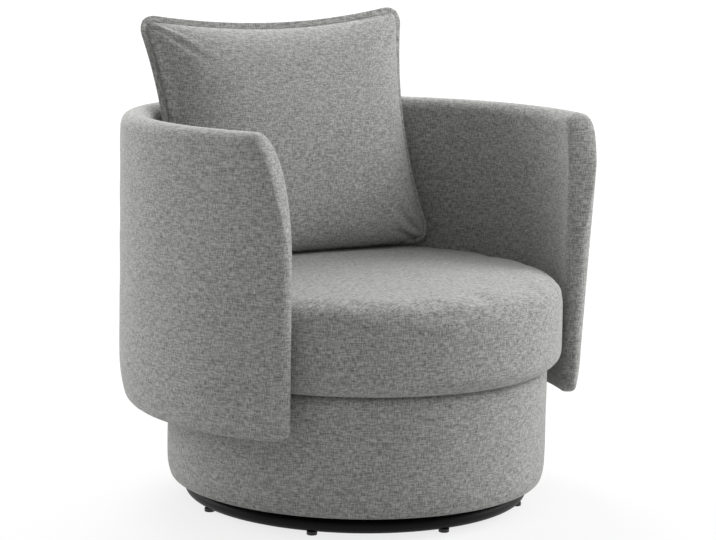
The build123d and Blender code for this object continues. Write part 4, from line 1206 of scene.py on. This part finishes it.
@dataclass
class BackPillow:
    """Loose back pillow: two sheets sewn round their edge, blown up, with a flat welt and a zip."""

    width: float = 0.550
    height: float = 0.428
    thickness: float = 0.155
    tilt: float = math.radians(15.0)
    turn: float = math.radians(5.5)
    slump: float = 0.006
    sag: float = 0.075
    side_draw: float = 0.026
    top_draw: float = 0.024
    corner: float = 0.026
    spare_width: float = 0.035
    spare_height: float = 0.055
    columns: int = 121
    rows: int = 91
    first_puff: float = 0.05
    welt_width: float = 0.010
    welt_thickness: float = 0.004
    welt_tuck: float = 0.003
    welt_points: int = 16
    welt_side_power: float = 0.6
    welt_face_power: float = 0.7
    front_shift: float = -3.0
    back_shift: float = -5.0
    welt_shift: float = 3.0
    stuffing: Stuffing = Stuffing(pressure=30.0, frames=25, tension=40.0, shear=10.0, bending=10.0)

    def side_run(self, share: np.ndarray, half: float) -> tuple[np.ndarray, np.ndarray]:
        """Place along a side that bends into the corners, and how far it falls there.

        A straight run, then half of a quarter circle at each end.

        Args:
            share: place along the side from -1 to 1.
            half: half of the full side.

        Returns:
            Distance along the side from its middle, and the fall towards the pillow's middle.
        """
        straight = half - self.corner
        length = np.abs(share) * (straight + self.corner * math.pi / 4)
        turn = np.clip((length - straight) / self.corner, 0.0, math.pi / 4)
        place = np.minimum(length, straight) + self.corner * np.sin(turn)
        return np.sign(share) * place, self.corner * (1.0 - np.cos(turn))

    def outline(self, width: float, height: float, side_draw: float, top_draw: float) -> list[np.ndarray]:
        """The bottom, top, left and right sides of the seam as x and z, sides drawn in by parabolas."""
        a, b = np.linspace(-1.0, 1.0, self.columns), np.linspace(-1.0, 1.0, self.rows)
        x, x_fall = self.side_run(a, width / 2)
        z, z_fall = self.side_run(b, height / 2)
        bottom = np.stack([x, x_fall - height / 2], axis=1)
        top = np.stack([x, height / 2 - x_fall - top_draw * (1.0 - a**2)], axis=1)
        out = width / 2 - z_fall - side_draw * (1.0 - b**2)
        return [bottom, top, np.stack([-out, z], axis=1), np.stack([out, z], axis=1)]

    @staticmethod
    def fill_in(sides: list[np.ndarray]) -> np.ndarray:
        """Grid inside four sides: both ruled grids added, less the grid between the corners alone."""
        bottom, top, left, right = sides
        s = np.linspace(0.0, 1.0, len(bottom))[None, :, None]
        t = np.linspace(0.0, 1.0, len(left))[:, None, None]
        across = left[:, None] * (1.0 - s) + right[:, None] * s
        upward = bottom[None] * (1.0 - t) + top[None] * t
        low = bottom[0] * (1.0 - s) + bottom[-1] * s
        high = top[0] * (1.0 - s) + top[-1] * s
        return across + upward - (low * (1.0 - t) + high * t)

    def puff(self) -> np.ndarray:
        """Share of the thickness over the sheet: an oval rise from the seam to the middle."""
        a, b = np.linspace(-1.0, 1.0, self.columns)[None, :], np.linspace(-1.0, 1.0, self.rows)[:, None]
        return np.sqrt(np.clip(1.0 - a**4, 0.0, 1.0) * np.clip(1.0 - b**4, 0.0, 1.0))

    @staticmethod
    def two_sheets(flat: np.ndarray, depth: np.ndarray, grids: tuple[np.ndarray, np.ndarray]) -> np.ndarray:
        """Vertex places of both sheets: a flat grid with the front brought forward, the back put behind.

        Args:
            flat: x and z of the grid.
            depth: distance of each grid point from the seam plane, nothing at the seam.
            grids: vertex numbers of the front and the back sheet, which share the seam.

        Returns:
            One place for each vertex.
        """
        points = np.empty((grids[1].max() + 1, 3))
        for sign, grid in zip((-1.0, 1.0), grids):
            sheet = np.stack([flat[..., 0], sign * depth, flat[..., 1]], axis=2)
            points[grid.ravel()] = sheet.reshape(-1, 3)
        return points

    def blown(
        self, sewn: np.ndarray, cut: np.ndarray, grids: tuple[np.ndarray, np.ndarray], quads: np.ndarray
    ) -> np.ndarray:
        """The two sheets after their filling has pushed them apart, with the seam held at its outline.

        The cloth keeps the size of its flat cut, so the sheets bulge and fold near the corners. Depths
        are then scaled to half of the thickness.

        Args:
            sewn: x and z of the finished pillow's grid.
            cut: x and z of the flat cut on the same grid.
            grids: vertex numbers of the front and the back sheet.
            quads: faces of both sheets.

        Returns:
            One place for each vertex, on the upright pillow.
        """
        start = self.two_sheets(sewn, self.puff() * self.first_puff, grids)
        trial = new_piece("pillow_trial", start, quads)
        front = grids[0]
        held = np.concatenate([front[0], front[-1], front[:, 0], front[:, -1]])
        points = self.stuffing.swell(trial, held, self.two_sheets(cut, np.zeros(cut.shape[:2]), grids))
        bpy.data.objects.remove(trial)
        points[:, 1] *= self.thickness / 2 / np.abs(points[:, 1]).max()
        return points

    def sagged(self, points: np.ndarray) -> np.ndarray:
        """Sinks the lower front onto the seat, by the sag times the shares of depth and of lowness."""
        forward = np.clip(-points[:, 1] / (self.thickness / 2), 0.0, 1.0)
        low = np.clip(-points[:, 2] / (self.height / 2), 0.0, 1.0)
        sunk = points.copy()
        sunk[:, 2] -= self.sag * forward * low
        return sunk

    def placed(self, points: np.ndarray) -> np.ndarray:
        """Sets points of the upright pillow in the chair.

        The top sinks on one side and rises on the other by the slump. Then the pillow leans back by the
        tilt, turns towards one arm and moves to the welt's middle.

        Args:
            points: places on the upright pillow, around its own middle.

        Returns:
            The same points in the chair.
        """
        lowest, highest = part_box("pillow_welt")
        side, height = points[..., 0] / (self.width / 2), 0.5 + points[..., 2] / self.height
        upright = points[..., 2] + self.slump * side * height
        lean = np.array([math.cos(self.tilt), math.sin(self.tilt)])
        turn = np.array([math.cos(self.turn), math.sin(self.turn)])
        deep = points[..., 1] * lean[0] + upright * lean[1]
        x = points[..., 0] * turn[0] + deep * turn[1]
        y = deep * turn[0] - points[..., 0] * turn[1]
        z = upright * lean[0] - points[..., 1] * lean[1]
        return np.stack([x, y, z], axis=-1) + (np.array(lowest) + np.array(highest)) / 2

    def welt(self, seam: np.ndarray) -> bpy.types.Object:
        """Flat flange that runs round the seam: a rounded strip section carried along the seam loop.

        Args:
            seam: x and z along the closed seam, counter-clockwise from the front.

        Returns:
            The welt's object.
        """
        run = np.roll(seam, -1, axis=0) - np.roll(seam, 1, axis=0)
        run /= np.linalg.norm(run, axis=1, keepdims=True)
        out = np.stack([run[:, 1], -run[:, 0]], axis=1)
        angle = np.linspace(0.0, 2 * math.pi, self.welt_points, endpoint=False)
        half = (self.welt_width + self.welt_tuck) / 2
        flat = np.sign(np.cos(angle)) * np.abs(np.cos(angle)) ** self.welt_side_power
        reach = half - self.welt_tuck + half * flat
        full = np.sign(np.sin(angle)) * np.abs(np.sin(angle)) ** self.welt_face_power
        lift = self.welt_thickness / 2 * full
        places = seam[:, None] + out[:, None] * reach[None, :, None]
        points = np.stack([places[..., 0], np.broadcast_to(lift, places.shape[:2]), places[..., 1]], axis=2)
        step = np.linalg.norm(np.diff(seam, axis=0, append=seam[:1]), axis=1)
        length = np.concatenate([[0.0], np.cumsum(step)]) + self.welt_shift
        girth = np.linspace(0.0, 2 * (self.welt_width + self.welt_thickness), len(angle) + 1)
        chart = np.stack(np.broadcast_arrays(length[:, None], girth[None, :]), axis=2)
        quads = cells(closed_index(len(seam), len(angle), True, True))
        return new_piece("pillow_welt_trim", self.placed(points).reshape(-1, 3), quads, cells(chart))

    def build(self, nodes: dict[str, bpy.types.Object]) -> None:
        """Cuts and blows up the cover, then sews on the welt and dresses the zip."""
        sides = self.outline(self.width, self.height, self.side_draw, self.top_draw)
        spare = (self.width + self.spare_width, self.height + self.spare_height)
        cut = self.fill_in(self.outline(*spare, 0.0, 0.0))
        front = np.arange(self.rows * self.columns).reshape(self.rows, self.columns)
        back = front.copy()
        inside = (self.rows - 2, self.columns - 2)
        back[1:-1, 1:-1] = front.size + np.arange(inside[0] * inside[1]).reshape(inside)
        quads = np.concatenate([cells(front), cells(back)[:, ::-1]])
        points = self.sagged(self.blown(self.fill_in(sides), cut, (front, back), quads))
        chart = cells(cut)
        front_chart = chart + np.array([self.front_shift, 0.0])
        back_chart = chart[:, ::-1] + np.array([self.back_shift, 0.0])
        cloth = np.concatenate([front_chart, back_chart])
        pillow = new_piece("pillow_upholstery", self.placed(points), quads, cloth)
        smooth_finish(pillow)
        settle(pillow, Body.PILLOW, LINEN, ("pillow_cover", "pillow_insert"))
        bottom, top, left, right = sides
        seam = np.concatenate([bottom[:-1], right[:-1], top[:0:-1], left[:0:-1]])
        settle(self.welt(seam), Body.PILLOW, LINEN, ("pillow_welt",))
        keep_solids(nodes, ((("pillow_zip",), ZIP_TAPE), (("zip_slider",), ZINC_STEEL)))


# Studio


@dataclass(frozen=True)
class PhotoCamera:
    """Camera at the photograph's viewing angle."""

    azimuth: float = math.radians(-40.0)
    elevation: float = math.radians(9.13)
    roll: float = math.radians(1.15)
    yaw: float = math.radians(-0.04)
    distance: float = 3.95
    aim_height: float = 0.401
    focal_pixels: float = 2247.6
    image_width: float = 716.0
    sensor: float = 36.0

    def build(self) -> None:
        """Stands back from the aim point along the viewing direction, then turns and rolls."""
        turn, lift = self.azimuth, self.elevation
        back = Vector((math.sin(turn) * math.cos(lift), -math.cos(turn) * math.cos(lift), math.sin(lift)))
        place = Vector((0.0, 0.0, self.aim_height)) + back * self.distance
        right = Vector((math.cos(turn), math.sin(turn), 0.0))
        ahead = -back
        up = right.cross(ahead)
        ahead, right = (
            ahead * math.cos(self.yaw) + right * math.sin(self.yaw),
            right * math.cos(self.yaw) - ahead * math.sin(self.yaw),
        )
        right, up = (
            right * math.cos(self.roll) + up * math.sin(self.roll),
            up * math.cos(self.roll) - right * math.sin(self.roll),
        )
        data = bpy.data.cameras.new("photo_camera")
        data.sensor_width = self.sensor
        data.lens = self.focal_pixels * self.sensor / self.image_width
        camera = bpy.data.objects.new("photo_camera", data)
        axes = Matrix((right, up, -ahead)).transposed()
        camera.matrix_world = Matrix.Translation(place) @ axes.to_4x4()
        bpy.context.scene.collection.objects.link(camera)
        bpy.context.scene.camera = camera


@dataclass(frozen=True)
class Softbox:
    """Square soft light that looks at a point above the floor."""

    name: str
    place: Triple
    size: float
    power: float
    aim: Triple = (0.0, 0.0, 0.4)

    def build(self) -> None:
        """Hangs the light and turns it to its aim."""
        data = bpy.data.lights.new(self.name, "AREA")
        data.size = self.size
        data.energy = self.power
        lamp = bpy.data.objects.new(self.name, data)
        lamp.location = self.place
        lamp.rotation_euler = (Vector(self.aim) - Vector(self.place)).to_track_quat("-Z", "Y").to_euler()
        bpy.context.scene.collection.objects.link(lamp)


@dataclass(frozen=True)
class Studio:
    """Pale floor that runs into a white surround, with soft lights behind the chair and on its +X side."""

    floor_half: float = 60.0
    floor_colour: Colour = (0.60, 0.60, 0.60)
    floor_roughness: float = 0.9
    near_white: float = 0.72
    white_spread: float = 0.05
    floor_glow: float = 1.09
    sky: Colour = (1.0, 1.0, 1.0)
    sky_light: float = 0.47
    lights: tuple[Softbox, ...] = (
        Softbox("back_light", (0.6, 2.2, 2.8), 2.0, 104.0),
        Softbox("back_left_light", (-1.8, 2.6, 1.5), 2.2, 60.0),
        Softbox("right_light", (2.9, -1.6, 1.5), 2.2, 73.0),
        Softbox("high_right_light", (2.4, -1.4, 2.8), 2.0, 59.0),
    )

    def floor(self) -> None:
        """Level sheet under the chair, which the camera sees white with the chair's shadow on it."""
        line = np.linspace(-self.floor_half, self.floor_half, 3)
        x, y = np.meshgrid(line, line, indexing="ij")
        points = np.stack([x.ravel(), y.ravel(), np.zeros(x.size)], axis=1)
        floor = new_piece("studio_floor", points, cells(closed_index(3, 3, False, False)))
        sheet = ShaderSheet("studio_floor")
        tree = sheet.tree
        sheet.set(Base_Color=self.floor_colour, Roughness=self.floor_roughness, Specular_IOR_Level=0.0)
        glow = tree.nodes.new("ShaderNodeEmission")
        glow.inputs["Strength"].default_value = self.floor_glow
        mixed = tree.nodes.new("ShaderNodeMixShader")
        east, north, _ = sheet.split(sheet.place())
        square = sheet.math("ADD", sheet.math("MULTIPLY", east, east), sheet.math("MULTIPLY", north, north))
        spread = sheet.math("ADD", sheet.math("MULTIPLY", square, self.white_spread), self.near_white)
        white = sheet.math("MINIMUM", spread, 1.0)
        sheet.put(mixed.inputs[0], sheet.math("MULTIPLY", self.seen(sheet), white))
        sheet.put(mixed.inputs[1], sheet.shader.outputs["BSDF"])
        sheet.put(mixed.inputs[2], glow.outputs[0])
        output = next(node for node in tree.nodes if node.type == "OUTPUT_MATERIAL")
        sheet.put(output.inputs["Surface"], mixed.outputs[0])
        floor.data.materials.append(sheet.material)

    @staticmethod
    def seen(sheet: ShaderSheet) -> Socket:
        """1 for rays from the camera, from gloss or through glass, 0 for light that falls on things."""
        path = sheet.tree.nodes.new("ShaderNodeLightPath")
        straight = sheet.math("MAXIMUM", path.outputs["Is Camera Ray"], path.outputs["Is Glossy Ray"])
        return sheet.math("MAXIMUM", straight, path.outputs["Is Transmission Ray"])

    def surround(self) -> None:
        """White world that lights the chair softly."""
        world = bpy.data.worlds.new("studio_surround")
        world.use_nodes = True
        tree = world.node_tree
        tree.nodes.clear()
        output = tree.nodes.new("ShaderNodeOutputWorld")
        mixed = tree.nodes.new("ShaderNodeMixShader")
        path = tree.nodes.new("ShaderNodeLightPath")
        for number, strength in ((1, self.sky_light), (2, 1.0)):
            glow = tree.nodes.new("ShaderNodeBackground")
            glow.inputs["Color"].default_value = (*self.sky, 1.0)
            glow.inputs["Strength"].default_value = strength
            tree.links.new(glow.outputs[0], mixed.inputs[number])
        tree.links.new(path.outputs["Is Camera Ray"], mixed.inputs[0])
        tree.links.new(mixed.outputs[0], output.inputs["Surface"])
        bpy.context.scene.world = world

    def build(self) -> None:
        """Lays the floor, closes the surround and hangs the lights."""
        self.floor()
        self.surround()
        for light in self.lights:
            light.build()
        bpy.context.scene.view_settings.view_transform = "Standard"


def main() -> None:
    """Loads the frame, dresses each sub-assembly and sets up the studio."""
    logging.basicConfig(level=logging.INFO, format="%(name)s: %(message)s")
    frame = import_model()
    nodes = frame["nodes"]
    PhotoCamera().build()
    Studio().build()
    FloorBase().build(nodes)
    HiddenFrame().build(nodes)
    Drum().build()
    Seat().build()
    TubShell().build()
    BackPillow().build(nodes)


if __name__ == "__main__":
    main()
